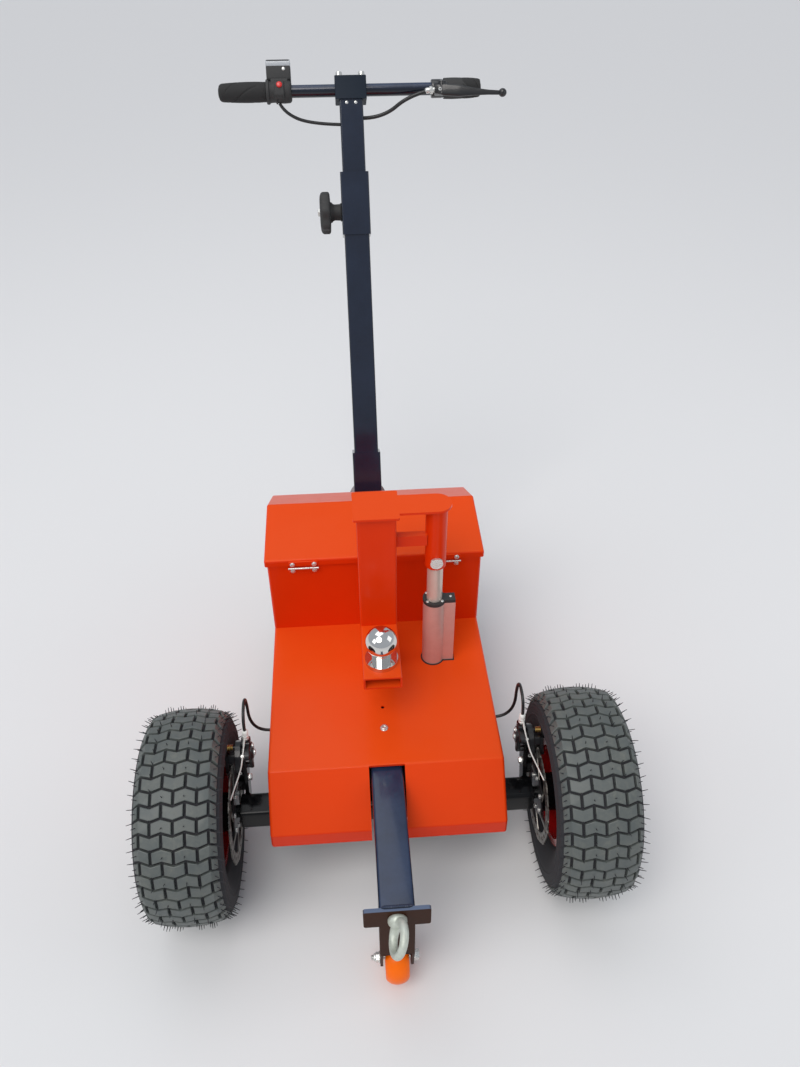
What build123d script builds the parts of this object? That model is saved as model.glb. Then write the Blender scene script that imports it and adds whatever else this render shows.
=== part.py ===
# Electric trailer dolly: chassis, powered lift post with tow ball, battery box, steering mast
# Sizes are in mm, and places along the machine are distances behind the axle, see station()
import os
from math import cos, pi, radians, sin, sqrt

from build123d import *

os.makedirs("parts", exist_ok=True)

# Clearances
overrun = 5.0
seat_gap = 0.2
running_fit = 0.05
slide_fit = 0.1
hole_gap = 1.0

# Cover, rails and axle tube
tyre_radius = 163.0
axle_z = tyre_radius
axle_tube = 40.0
tube_wall = 3.0
tube_corner = 3.0
rail_high = 50.0
rail_wide = 30.0
rail_edge = 9.4
sheet = 3.0
bend_radius = 5.0
pad_high = 3.0
cover_half = 184.4
rail_outer = cover_half - rail_edge
rail_inner = rail_outer - rail_wide
rail_low = axle_z + axle_tube / 2
deck_z = rail_low + rail_high + sheet
bend_y = 17.0
apron_y = -50.0
apron_z = axle_z
flange_drop = 27.0
flange_z = apron_z - flange_drop
deck_rear = 580.0
cross_deep = 40.0

# Tongue and nose
tongue_half = 25.0
tongue_high = 40.0
tongue_low = rail_low + pad_high
tongue_top = tongue_low + tongue_high
tongue_front = -209.0
slot_gap = 3.0
plate_half = 46.8
plate_thick = 6.0
plate_corner = 4.0
plate_face = tongue_front - plate_thick
eye_z = (tongue_top + tongue_low) / 2
eye_reach = 56.0
eye_major = 21.0
eye_minor = 6.0
eye_tilt = 15.0
eye_thread = 6.0
eye_collar_radius = 15.0
eye_collar_thick = 8.0
eye_neck_radius = 9.0
eye_neck_long = 3.0
eye_root = 12.0
thread_past = 14.0
ear_thick = 4.0
ear_radius = 13.0
fork_deep = 43.0
web_gap = 16.0
roller_back = 25.0
roller_radius = 39.0
roller_half = 17.5
roller_round = 5.0
roller_core = 16.0
roller_side_gap = 0.5
roller_floor_gap = 7.0
roller_y = plate_face + roller_back
roller_z = roller_radius + roller_floor_gap
nose_pin_radius = 4.0
pin_past = 9.0
hex_radius = 7.5
head_high = 5.5
nut_high = 7.0

# Wheels, set out from the cover's side
disc_gap = 55.6
disc_to_tyre = 66.0
axle_short = 10.0
disc_x = cover_half + disc_gap
track_half = disc_x + disc_to_tyre
axle_end = disc_x - axle_short
tyre_width = 126.0
tread_rows = 42
row_gap = 6.4
block_high = 5.2
block_sink = 1.0
tread_in = 6.0
floor_in = 5.5
floor_drop = 13.5
liner_sides = 12
liner_in = 13.0
liner_drop = 25.0
bead_thick = 9.0
bead_slope = 20.0
shoulder_in = 9.0
shoulder_drop = 8.0
wide_share = 0.52
low_side_share = 0.3
low_side_in = 2.0
rim_flange_radius = 84.0
rim_bead_radius = 76.0
rim_barrel_radius = 68.0
rim_half_width = 46.0
rim_flange = 4.0
rim_wall = 3.0
flange_over = 4.0
bead_long = 14.0
drop_run = 6.0
web_half = 3.0
hub_radius = 30.0
barrel_radius = 24.0
barrel_half = 24.0
spindle_radius = 10.0
spindle_lap = 40.0
spindle_short = 10.0
disc_radius = 80.0
disc_thick = 2.0
disc_ring = 16.0
disc_arm = 9.0
disc_arm_lap = 3.0
disc_arm_count = 6
disc_bore_gap = 2.0

# Brake calipers and their cables
caliper_turn = 53.5
caliper_in = 28.0
caliper_long = 44.0
caliper_high = 30.0
caliper_gap = 4.0
disc_edge_gap = 2.0
jaw_thick = 6.0
jaw_deep = 18.0
bridge_high = 12.0
bracket_thick = 6.0
bracket_in = 2.0
bracket_foot = 14.0
bracket_half = 18.0
bracket_lap = 22.0
stop_radius = 4.5
stop_high = 33.4
stop_sink = 8.0
cable_radius = 2.5
cable_bend = 18.0
cable_rise = 32.0
cable_y = 115.0
cable_drop = 21.0

# Motor and gearbox block
drive_wide = 184.0
drive_deep = 110.0
drive_drop = 65.0
drive_behind = 20.0

# Battery box, lid and hinges
box_front = 328.0
box_rear_gap = 6.0
lid_ahead = 4.0
lid_beside = 3.9
lid_rear_in = 2.0
lid_lip = 13.0
lid_corner = 4.0
lid_rise = 163.0
ridge_behind = 145.0
ridge_rise = 11.0
rear_fall = 60.0
battery_side_gap = 15.4
battery_gap = 4.0
battery_deep = 175.0
battery_high = 125.0
hinge_inner = 97.0
hinge_outer = 147.0
hinge_ahead = 3.0
hinge_down = 16.4
knuckle_radius = 3.0
knuckle_share = 0.3
hinge_pin_radius = 1.5
hinge_leaf = 1.5
hinge_leaf_high = 14.0
lid_front = box_front - lid_ahead
lid_half = cover_half + lid_beside
lid_front_z = deck_z + lid_rise
ridge_y = lid_front + ridge_behind
ridge_z = lid_front_z + ridge_rise
lid_rear = deck_rear - lid_rear_in
lid_rear_z = ridge_z - rear_fall
box_rear = deck_rear - box_rear_gap
hinge_y = lid_front - hinge_ahead
hinge_z = lid_front_z - hinge_down

# Lift post, ball beam, cap and cylinder
post_y = 238.0
post_side = 60.0
post_wall = 3.0
post_corner = 4.0
beam_corner = 3.0
guide_side = post_side - 2 * post_wall - 2 * slide_fit
guide_high = 254.0
lift_raised = 90.0
beam_high = 24.0
beam_wall = 3.0
post_high = 244.0
ball_y = 130.0
ball_to_end = 37.0
ball_rise = 42.0
ball_radius = 25.0
ball_neck_radius = 15.0
ball_collar_radius = 26.0
ball_collar_high = 8.0
beam_low = deck_z + lift_raised
beam_top = beam_low + beam_high
beam_front = ball_y - ball_to_end
cap_z = beam_low + post_high
ball_z = beam_top + ball_rise
cap_thick = 4.0
cap_over = 5.0
cap_corner = 3.0
arm_reach = 63.5
arm_x = post_side / 2 + arm_reach
arm_half = 23.0
sleeve_radius = 17.0
sleeve_long = 118.0
sleeve_low = cap_z - sleeve_long
brace_down = 70.0
brace_high = 20.0
brace_deep = 12.0
pin_rise = 16.0
pin_head = 10.0
pin_head_thick = 4.0
rod_radius = 12.8
rod_gap = 1.0
rod_down = 178.0
rod_up = 30.0
body_radius = 18.4
body_rise = 136.0
body_drop = 58.0
body_top = deck_z + body_rise
body_low = rail_low - body_drop
channel_reach = 34.5
channel_half = 9.0
channel_x = arm_x + channel_reach
flange_thick = 6.0
flange_lip = 0.6
foot_thick = 6.0
foot_tab_wide = 24.0
foot_tab_high = 25.0
foot_tab_lap = 20.0
screw_hole_y = 131.4
screw_hole_radius = 3.0

# Mast, its distances measured up from its foot on the deck's height
lean = 27.0
mast_gap = 42.0
mast_y = deck_rear + mast_gap
mast_z = deck_z
socket_side = 56.0
socket_low = -30.0
socket_top = 150.0
foot_plate_wide = 120.0
foot_plate_high = 80.0
foot_plate_thick = 6.0
round_plate_s = 47.0
round_plate_radius = 39.0
round_plate_thick = 8.0
lower_side = 48.0
lower_wall = 1.9
lower_end = -26.0
collar_side = 54.0
collar_low = 569.0
collar_top = 682.0
knob_s = 613.0
knob_radius = 40.0
knob_lobe = 11.0
knob_lobes = 7
knob_thick = 20.0
knob_dip = 2.0
stem_radius = 16.0
stem_long = 22.0
upper_side = 44.0
upper_wall = 2.0
upper_low = 420.0
bar_s = 830.0
bar_radius = 11.1
bar_wall = 2.0
bar_half = 236.0
clamp_half = 29.0
clamp_high = 40.0
clamp_deep = 50.0
grip_over = 9.0
grip_gap = 1.0
left_grip_long = 87.0
left_grip_radius = 16.0
right_grip_long = 44.0
right_grip_radius = 16.5
housing_long = 47.0
housing_radius = 20.5
gauge_wide = 40.0
gauge_deep = 26.0
gauge_high = 36.0
gauge_low = 17.0
gauge_in = 1.0
gauge_round = 3.0
lever_long = 48.0
lever_radius = 16.0
lever_reach = 135.0
lever_sweep = 40.0
lever_thick = 8.0
lever_ball_radius = 8.0
lever_blade_shares = (
    (0.06, 0.35),
    (0.34, 0.50),
    (1.00, 0.90),
    (1.00, 1.10),
    (0.36, 0.95),
    (0.06, 0.75),
)

# Rear caster
kingpin_before = 60.0
kingpin_y = deck_rear - kingpin_before
caster_trail = 45.0
caster_wheel_radius = 62.0
caster_wheel_half = 16.0
caster_wheel_round = 3.0
caster_head = rail_low - axle_tube
caster_plate_wide = 100.0
caster_plate_deep = 110.0
caster_plate_thick = 6.0
kingpin_radius = 10.0
kingpin_long = 14.0
yoke_radius = 34.0
yoke_thick = 9.5
yoke_gap = 0.5
leg_inner = 19.0
leg_thick = 4.0
leg_top_half = 30.0
leg_low_half = 12.0
leg_past = 8.0
leg_lap = 6.0
caster_pin_radius = 6.0
caster_pin_past = 4.0

# Rows of cross tubes under the deck
cross_rows = (
    drive_behind + drive_deep + drive_behind,
    post_y + channel_half + foot_thick + foot_thick + pad_high,
    deck_rear - cross_deep - foot_thick + 2 * hole_gap,
)
tongue_rear = cross_rows[1] + cross_deep - 2 * hole_gap

# The machine is centred on its length, from the eye to the top corner of the gauge
front_reach = eye_reach - plate_face
gauge_top = bar_s + gauge_low + gauge_high
rear_reach = (
    mast_y
    + (gauge_top - gauge_round) * sin(radians(lean))
    + (gauge_deep / 2 - gauge_round) * cos(radians(lean))
    + gauge_round
)
axle_y = (front_reach - rear_reach) / 2


def station(y):
    """World y of a distance behind the axle."""
    return axle_y + y


def mast_point(s, off=0.0, x=0.0):
    """Point at a distance up the leaning mast, off its rear side."""
    return (
        x,
        station(mast_y) + s * sin(radians(lean)) + off * cos(radians(lean)),
        mast_z + s * cos(radians(lean)) - off * sin(radians(lean)),
    )


def mast_plane(s):
    """Plane across the mast at a distance up it, its y to the rear."""
    return Plane(
        origin=mast_point(s),
        x_dir=(1, 0, 0),
        z_dir=(0, sin(radians(lean)), cos(radians(lean))),
    )


def bar_plane(x):
    """Plane across the handlebar at x, its x to the rear and its y up the mast."""
    return Plane(
        origin=mast_point(bar_s, 0, x),
        x_dir=(0, cos(radians(lean)), -sin(radians(lean))),
        z_dir=(1, 0, 0),
    )


def side_plane(x):
    """Plane facing +X at x, its own x along world y and y up."""
    return Plane(origin=(x, 0, 0), x_dir=(0, 1, 0), z_dir=(1, 0, 0))


def cross_plane(y):
    """Plane facing the nose at a distance behind the axle, its y up."""
    return Plane.XZ.offset(-station(y))


def caliper_plane(x):
    """Plane at x with its x pointing from the axle out through the caliper."""
    turn = radians(caliper_turn)
    return Plane(
        origin=(x, station(0), axle_z),
        x_dir=(0, cos(turn), sin(turn)),
        z_dir=(1, 0, 0),
    )


def caliper_point(out, along):
    """Side view place of a point out from the axle and along the disc's edge."""
    turn = radians(caliper_turn)
    return (
        station(0) + out * cos(turn) - along * sin(turn),
        axle_z + out * sin(turn) + along * cos(turn),
    )


def save(piece, name):
    """Label a piece and write it."""
    piece.part.label = name
    export_step(piece.part, "parts/" + name + ".step")


# Frame under the deck
with BuildPart() as chassis_frame:
    for side in (-1, 1):
        with BuildSketch(side_plane(side * (rail_inner + rail_wide / 2))):
            with BuildLine():
                Polyline(
                    (station(-axle_tube / 2), rail_low),
                    (station(-axle_tube / 2), rail_low + pad_high),
                    (station(bend_y + sheet), deck_z - sheet - seat_gap),
                    (station(deck_rear - sheet), deck_z - sheet - seat_gap),
                    (station(deck_rear - sheet), rail_low),
                    close=True,
                )
            make_face()
        extrude(amount=rail_wide / 2, both=True)
    for row in cross_rows:
        with BuildSketch(Plane.XY.offset(rail_low - axle_tube)):
            with Locations((0, station(row + cross_deep / 2))):
                Rectangle(2 * rail_outer, cross_deep)
        extrude(amount=axle_tube)
    for row in cross_rows[:2]:
        with BuildSketch(Plane.XY.offset(rail_low)):
            with Locations((0, station(row + cross_deep / 2))):
                Rectangle(2 * tongue_half, cross_deep)
        extrude(amount=pad_high)
    # Hollow insides of the tubes
    for side in (-1, 1):
        with BuildSketch(cross_plane(bend_y + 2 * sheet)):
            with Locations((side * (rail_inner + rail_wide / 2), rail_low + rail_high / 2)):
                Rectangle(rail_wide - 2 * tube_wall, rail_high - 2 * tube_wall)
        extrude(amount=-(deck_rear - bend_y), mode=Mode.SUBTRACT)
    for row in cross_rows:
        with BuildSketch(side_plane(0)):
            with Locations((station(row + cross_deep / 2), rail_low - axle_tube / 2)):
                Rectangle(cross_deep - 2 * tube_wall, axle_tube - 2 * tube_wall)
        extrude(amount=rail_outer - tube_wall, both=True, mode=Mode.SUBTRACT)
    # Hanging plates that hold the foot of the lift cylinder
    tab_low = body_low - foot_tab_high - pad_high
    for front in (post_y - channel_half - foot_thick, post_y + channel_half):
        with BuildSketch(cross_plane(front)):
            with BuildLine():
                Polyline(
                    (channel_x + pad_high, rail_low),
                    (channel_x + pad_high, body_low - pad_high),
                    (arm_x - body_radius, body_low - pad_high),
                    (arm_x - body_radius, tab_low),
                    (channel_x + pad_high, tab_low),
                    (rail_outer, body_low + pad_high),
                    (rail_outer, rail_low),
                    close=True,
                )
            make_face()
        extrude(amount=-foot_thick)
save(chassis_frame, "chassis_frame")


def cover_outline(low):
    """Side view of the cover down to a height: apron, deck and rear."""
    return (
        (station(apron_y), low),
        (station(apron_y), apron_z),
        (station(bend_y), deck_z),
        (station(deck_rear), deck_z),
        (station(deck_rear), low),
    )


# Folded cover
with BuildPart() as deck_cover:
    with BuildSketch(side_plane(0)):
        with BuildLine():
            Polyline(*cover_outline(flange_z), close=True)
        make_face()
    extrude(amount=cover_half, both=True)
    bends = deck_cover.edges().filter_by(lambda edge: edge.center().Z > flange_z + hole_gap)
    fillet(bends, radius=bend_radius)
    with BuildSketch(side_plane(0)):
        with BuildLine():
            Polyline(*cover_outline(flange_z - sheet - overrun), close=True)
        make_face()
        offset(amount=-sheet, kind=Kind.INTERSECTION)
    extrude(amount=cover_half - sheet, both=True, mode=Mode.SUBTRACT)
    # Slot for the tongue
    with BuildSketch(Plane.XY.offset(flange_z - overrun)):
        with Locations((0, station((apron_y - overrun + bend_y) / 2))):
            Rectangle(2 * (tongue_half + slot_gap), bend_y - apron_y + overrun)
    extrude(amount=deck_z - flange_z + 2 * overrun, mode=Mode.SUBTRACT)
    # Holes for the axle tube
    with BuildSketch(side_plane(0)):
        with Locations((station(0), axle_z)):
            Rectangle(axle_tube + 2 * hole_gap, axle_tube + 2 * hole_gap)
    extrude(amount=cover_half + overrun, both=True, mode=Mode.SUBTRACT)
    # Holes in the deck
    with BuildSketch(Plane.XY.offset(deck_z - sheet - overrun)):
        with Locations((0, station(post_y))):
            Rectangle(guide_side + 2 * seat_gap, guide_side + 2 * seat_gap)
        with Locations((arm_x, station(post_y))):
            Circle(body_radius + hole_gap)
        with Locations(((arm_x + channel_x + hole_gap) / 2, station(post_y))):
            Rectangle(channel_x + hole_gap - arm_x, 2 * (channel_half + hole_gap))
        with Locations((0, station(screw_hole_y))):
            Circle(screw_hole_radius)
    extrude(amount=sheet + 2 * overrun, mode=Mode.SUBTRACT)
save(deck_cover, "deck_cover")

# Axle tube with its fixed spindles
with BuildPart() as axle_beam:
    with BuildSketch(side_plane(0)):
        with Locations((station(0), axle_z)):
            Rectangle(axle_tube, axle_tube)
            Rectangle(axle_tube - 2 * tube_wall, axle_tube - 2 * tube_wall, mode=Mode.SUBTRACT)
    extrude(amount=axle_end, both=True)
    with BuildSketch(Plane.XY.offset(rail_low)):
        with Locations((0, station(0))):
            Rectangle(2 * tongue_half, axle_tube)
    extrude(amount=pad_high)
    for side in (-1, 1):
        with BuildSketch(side_plane(side * (axle_end - tube_wall))):
            with Locations((station(0), axle_z)):
                Rectangle(axle_tube, axle_tube)
        extrude(amount=side * tube_wall)
        with BuildSketch(side_plane(side * (axle_end - spindle_lap))):
            with Locations((station(0), axle_z)):
                Circle(spindle_radius)
        extrude(amount=side * (track_half + rim_half_width - spindle_short - axle_end + spindle_lap))
save(axle_beam, "axle_beam")

# Motor and gearbox block
with BuildPart() as drive_unit:
    with BuildSketch(Plane.XY.offset(axle_z - drive_drop)):
        with Locations((0, station(axle_tube / 2 + drive_deep / 2))):
            Rectangle(drive_wide, drive_deep)
    extrude(amount=drive_drop + axle_tube / 2)
save(drive_unit, "drive_unit")

# Battery box
front_slope = ridge_rise / ridge_behind
rear_slope = rear_fall / (lid_rear - ridge_y)
under = sheet + seat_gap
with BuildPart() as battery_box:
    with BuildSketch(side_plane(0)):
        with BuildLine():
            Polyline(
                (station(box_front), deck_z),
                (station(box_front), lid_front_z - under + lid_ahead * front_slope),
                (station(ridge_y), ridge_z - under),
                (station(box_rear), lid_rear_z - under + (lid_rear - box_rear) * rear_slope),
                (station(box_rear), deck_z),
                close=True,
            )
        make_face()
    extrude(amount=cover_half, both=True)
    fillet(battery_box.edges().filter_by(Axis.Z), radius=bend_radius)
    with BuildSketch(Plane.XY.offset(deck_z + sheet)):
        with Locations((0, station((box_front + box_rear) / 2))):
            Rectangle(2 * (cover_half - sheet), box_rear - box_front - 2 * sheet)
    extrude(amount=ridge_z - deck_z, mode=Mode.SUBTRACT)
save(battery_box, "battery_box")

# Batteries, one plain block
with BuildPart() as battery_block:
    with BuildSketch(Plane.XY.offset(deck_z + sheet)):
        with Locations((0, station(box_front + sheet + battery_gap + battery_deep / 2))):
            Rectangle(2 * (cover_half - sheet - battery_side_gap), battery_deep)
    extrude(amount=battery_high)
save(battery_block, "battery_block")

# Lid
with BuildPart() as box_lid:
    with BuildSketch(side_plane(0)):
        with BuildLine():
            Polyline(
                (station(lid_front), lid_front_z - lid_lip),
                (station(lid_front), lid_front_z),
                (station(ridge_y), ridge_z),
                (station(lid_rear), lid_rear_z),
                (station(lid_rear), lid_rear_z - lid_lip),
                (station(ridge_y), ridge_z - lid_lip),
                close=True,
            )
        make_face()
    extrude(amount=lid_half, both=True)
    top_edges = box_lid.faces().filter_by(lambda face: face.normal_at().Z > 0).edges()
    corners = box_lid.edges().filter_by(Axis.Z)
    fillet(ShapeList(set(top_edges + corners)), radius=lid_corner)
    with BuildSketch(side_plane(0)):
        with BuildLine():
            Polyline(
                (station(lid_front + sheet), deck_z),
                (station(lid_front + sheet), lid_front_z - sheet + sheet * front_slope),
                (station(ridge_y), ridge_z - sheet),
                (station(lid_rear - sheet), lid_rear_z - sheet + sheet * rear_slope),
                (station(lid_rear - sheet), deck_z),
                close=True,
            )
        make_face()
    extrude(amount=lid_half - sheet, both=True, mode=Mode.SUBTRACT)
save(box_lid, "box_lid")

# Lid hinges, each with two knuckles on the box and one on the lid
hinge_mid = (hinge_inner + hinge_outer) / 2
hinge_long = hinge_outer - hinge_inner
leaf_mid_z = lid_front_z - lid_lip + hinge_leaf_high / 2
with BuildPart() as box_hinges:
    for side in (-1, 1):
        with BuildSketch(side_plane(side * hinge_mid)):
            with Locations((station(hinge_y), hinge_z)):
                Circle(hinge_pin_radius)
        extrude(amount=hinge_long / 2, both=True)
        for end in (-1, 1):
            with BuildSketch(side_plane(side * hinge_mid + end * hinge_long * (1 - knuckle_share) / 2)):
                with Locations((station(hinge_y), hinge_z)):
                    Circle(knuckle_radius)
                with BuildLine():
                    Polyline(
                        (station(hinge_y), hinge_z + knuckle_radius / 3),
                        (station(hinge_y), hinge_z - knuckle_radius),
                        (station(box_front - hinge_leaf), hinge_z - 2 * knuckle_radius),
                        (station(box_front - hinge_leaf), hinge_z - hinge_leaf_high),
                        (station(box_front), hinge_z - hinge_leaf_high),
                        (station(box_front), hinge_z - knuckle_radius),
                        close=True,
                    )
                make_face()
            extrude(amount=hinge_long * knuckle_share / 2, both=True)
save(box_hinges, "box_hinges")
with BuildPart() as lid_hinges:
    for side in (-1, 1):
        with BuildSketch(side_plane(side * hinge_mid)):
            with Locations((station(hinge_y), hinge_z)):
                Circle(knuckle_radius)
            with Locations((station(hinge_y + knuckle_radius - hinge_leaf / 2), hinge_z + knuckle_radius)):
                Rectangle(hinge_leaf, 2 * knuckle_radius)
            with Locations((station(hinge_y), hinge_z)):
                Circle(hinge_pin_radius + running_fit, mode=Mode.SUBTRACT)
        extrude(amount=hinge_long * (1 - 2 * knuckle_share) / 2 - seat_gap, both=True)
        with BuildSketch(side_plane(side * hinge_mid)):
            with Locations((station(lid_front - hinge_leaf / 2), leaf_mid_z)):
                Rectangle(hinge_leaf, hinge_leaf_high - lid_corner)
        extrude(amount=hinge_long / 2, both=True)
save(lid_hinges, "lid_hinges")

# Guide that the lift post slides on
with BuildPart() as guide_post:
    with BuildSketch(Plane.XY.offset(tongue_top)):
        with Locations((0, station(post_y))):
            RectangleRounded(guide_side, guide_side, tube_corner)
            Rectangle(guide_side - 2 * post_wall, guide_side - 2 * post_wall, mode=Mode.SUBTRACT)
    extrude(amount=deck_z + guide_high - tongue_top)
save(guide_post, "guide_post")

# Lift post with its ball beam
with BuildPart() as lift_post:
    with BuildSketch(Plane.XY.offset(beam_low)):
        with Locations((0, station(post_y))):
            RectangleRounded(post_side, post_side, post_corner)
    extrude(amount=post_high)
    with BuildSketch(cross_plane(beam_front)):
        with Locations((0, beam_low + beam_high / 2)):
            RectangleRounded(post_side, beam_high, beam_corner)
    extrude(amount=-(post_y - beam_front))
    with BuildSketch(cross_plane(beam_front - overrun)):
        with Locations((0, beam_low + beam_high / 2)):
            Rectangle(post_side - 2 * beam_wall, beam_high - 2 * beam_wall)
    extrude(amount=-(post_y - post_side / 2 - beam_front + overrun), mode=Mode.SUBTRACT)
    with BuildSketch(Plane.XY.offset(beam_low - overrun)):
        with Locations((0, station(post_y))):
            Rectangle(post_side - 2 * post_wall, post_side - 2 * post_wall)
    extrude(amount=post_high + 2 * overrun, mode=Mode.SUBTRACT)
save(lift_post, "lift_post")

# Cap plate with arm, sleeve and brace
brace_end = arm_x - (rod_radius + sleeve_radius) / 2
with BuildPart() as lift_cap:
    with BuildSketch(Plane.XY.offset(cap_z)):
        with Locations((0, station(post_y))):
            RectangleRounded(post_side + 2 * cap_over, post_side + 2 * cap_over, cap_corner)
        with Locations((arm_x / 2, station(post_y))):
            Rectangle(arm_x, 2 * arm_half)
        with Locations((arm_x, station(post_y))):
            Circle(arm_half)
    extrude(amount=cap_thick)
    with BuildSketch(Plane.XY.offset(sleeve_low)):
        with Locations((arm_x, station(post_y))):
            Circle(sleeve_radius)
            Circle(rod_radius + running_fit, mode=Mode.SUBTRACT)
    extrude(amount=sleeve_long)
    with BuildSketch(Plane.XY.offset(cap_z - brace_down)):
        with Locations(((post_side / 2 + brace_end) / 2, station(post_y - brace_deep / 2))):
            Rectangle(brace_end - post_side / 2, brace_deep)
    extrude(amount=brace_high)
save(lift_cap, "lift_cap")

# Tow ball
with BuildPart() as tow_ball:
    with BuildSketch(side_plane(0)):
        with Locations((station(ball_y), ball_z)):
            Circle(ball_radius)
        with Locations((station(ball_y), (beam_top + ball_z) / 2)):
            Rectangle(2 * ball_neck_radius, ball_rise)
        with Locations((station(ball_y), beam_top + ball_collar_high / 2)):
            Rectangle(2 * ball_collar_radius, ball_collar_high)
        with Locations((station(ball_y) - ball_collar_radius - overrun, ball_z)):
            Rectangle(2 * (ball_collar_radius + overrun), 4 * ball_radius, mode=Mode.SUBTRACT)
    revolve(axis=Axis((0, station(ball_y), 0), (0, 0, 1)), revolution_arc=360)
save(tow_ball, "tow_ball")

# Linear cylinder: rod and its pin on the lift, body and flange on the frame
with BuildPart() as actuator_rod:
    with BuildSketch(Plane.XY.offset(sleeve_low - rod_down)):
        with Locations((arm_x, station(post_y))):
            Circle(rod_radius)
    extrude(amount=rod_down + rod_up)
save(actuator_rod, "actuator_rod")
with BuildPart() as clevis_pin:
    with BuildSketch(cross_plane(post_y - sleeve_radius)):
        with Locations((arm_x, sleeve_low + pin_rise)):
            Circle(pin_head)
    extrude(amount=pin_head_thick)
save(clevis_pin, "clevis_pin")
with BuildPart() as actuator_body:
    with BuildSketch(Plane.XY.offset(body_low)):
        with Locations((arm_x, station(post_y))):
            Circle(body_radius)
        with Locations(((arm_x + channel_x) / 2, station(post_y))):
            Rectangle(channel_reach, 2 * channel_half)
        with Locations((arm_x, station(post_y))):
            Circle(rod_radius + rod_gap, mode=Mode.SUBTRACT)
    extrude(amount=body_top - body_low)
    with BuildSketch(Plane.XY.offset(body_low - foot_tab_high)):
        with Locations((arm_x, station(post_y))):
            Rectangle(foot_tab_wide, 2 * channel_half)
    extrude(amount=foot_tab_high + foot_tab_lap)
save(actuator_body, "actuator_body")
with BuildPart() as actuator_flange:
    with BuildSketch(Plane.XY.offset(body_top)):
        with Locations((arm_x, station(post_y))):
            Circle(body_radius + flange_lip)
        with Locations(((arm_x + channel_x) / 2, station(post_y))):
            Rectangle(channel_reach, 2 * channel_half)
        with Locations((arm_x, station(post_y))):
            Circle(rod_radius + running_fit, mode=Mode.SUBTRACT)
    extrude(amount=flange_thick)
save(actuator_flange, "actuator_flange")

# Tongue and its end plate
with BuildPart() as tongue:
    with BuildSketch(cross_plane(tongue_front)):
        with Locations((0, eye_z)):
            RectangleRounded(2 * tongue_half, tongue_high, tube_corner)
            Rectangle(
                2 * (tongue_half - tube_wall),
                tongue_high - 2 * tube_wall,
                mode=Mode.SUBTRACT,
            )
    extrude(amount=-(tongue_rear - tongue_front))
save(tongue, "tongue")
with BuildPart() as tongue_plate:
    with BuildSketch(cross_plane(tongue_front)):
        with Locations((0, eye_z)):
            RectangleRounded(2 * plate_half, tongue_high, plate_corner)
            Circle(eye_thread, mode=Mode.SUBTRACT)
    extrude(amount=plate_thick)
save(tongue_plate, "tongue_plate")

# Eye bolt: its round steps as start behind the tongue's end, radius, length
eye_steps = (
    (tongue_front + thread_past, eye_thread, thread_past + plate_thick + eye_root),
    (plate_face, eye_collar_radius, eye_collar_thick),
    (plate_face - eye_collar_thick, eye_neck_radius, eye_neck_long),
)
with BuildPart() as eye_bolt:
    for start, radius, length in eye_steps:
        with BuildSketch(cross_plane(start)):
            with Locations((0, eye_z)):
                Circle(radius)
        extrude(amount=length)
    with Locations(
        Plane(
            origin=(0, station(plate_face - eye_reach + eye_major + eye_minor), eye_z),
            x_dir=(0, 1, 0),
            z_dir=(cos(radians(eye_tilt)), 0, -sin(radians(eye_tilt))),
        )
    ):
        Torus(eye_major, eye_minor)
save(eye_bolt, "eye_bolt")

# Nose fork, its bolt and the roller
web_low = roller_z + roller_radius + web_gap
with BuildPart() as nose_fork:
    with BuildSketch(cross_plane(plate_face + ear_thick)):
        with Locations((0, (tongue_low + web_low) / 2)):
            Rectangle(2 * tongue_half, tongue_low - web_low)
    extrude(amount=ear_thick)
    for side in (-1, 1):
        with BuildSketch(side_plane(side * (tongue_half - ear_thick))):
            with BuildLine():
                Polyline(
                    (station(plate_face), tongue_low),
                    (station(plate_face + fork_deep), tongue_low),
                    (station(roller_y + ear_radius), roller_z),
                    (station(roller_y - ear_radius), roller_z),
                    (station(plate_face), web_low),
                    close=True,
                )
            make_face()
            with Locations((station(roller_y), roller_z)):
                Circle(ear_radius)
                Circle(nose_pin_radius, mode=Mode.SUBTRACT)
        extrude(amount=side * ear_thick)
save(nose_fork, "nose_fork")
with BuildPart() as nose_bolt:
    with BuildSketch(side_plane(0)):
        with Locations((station(roller_y), roller_z)):
            Circle(nose_pin_radius)
    extrude(amount=tongue_half + pin_past, both=True)
    for side, high in ((1, head_high), (-1, nut_high)):
        with BuildSketch(side_plane(side * tongue_half)):
            with Locations((station(roller_y), roller_z)):
                RegularPolygon(hex_radius, 6)
        extrude(amount=side * high)
save(nose_bolt, "nose_bolt")
with BuildPart() as nose_roller:
    core_low = nose_pin_radius + running_fit
    with BuildSketch(cross_plane(roller_y)):
        with Locations((0, roller_z + (roller_radius + core_low) / 2)):
            RectangleRounded(2 * roller_half, roller_radius - core_low, roller_round)
        with Locations((0, roller_z + (roller_core + core_low) / 2)):
            Rectangle(2 * (tongue_half - ear_thick - roller_side_gap), roller_core - core_low)
    revolve(axis=Axis((0, station(roller_y), roller_z), (1, 0, 0)), revolution_arc=360)
save(nose_roller, "nose_roller")

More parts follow.
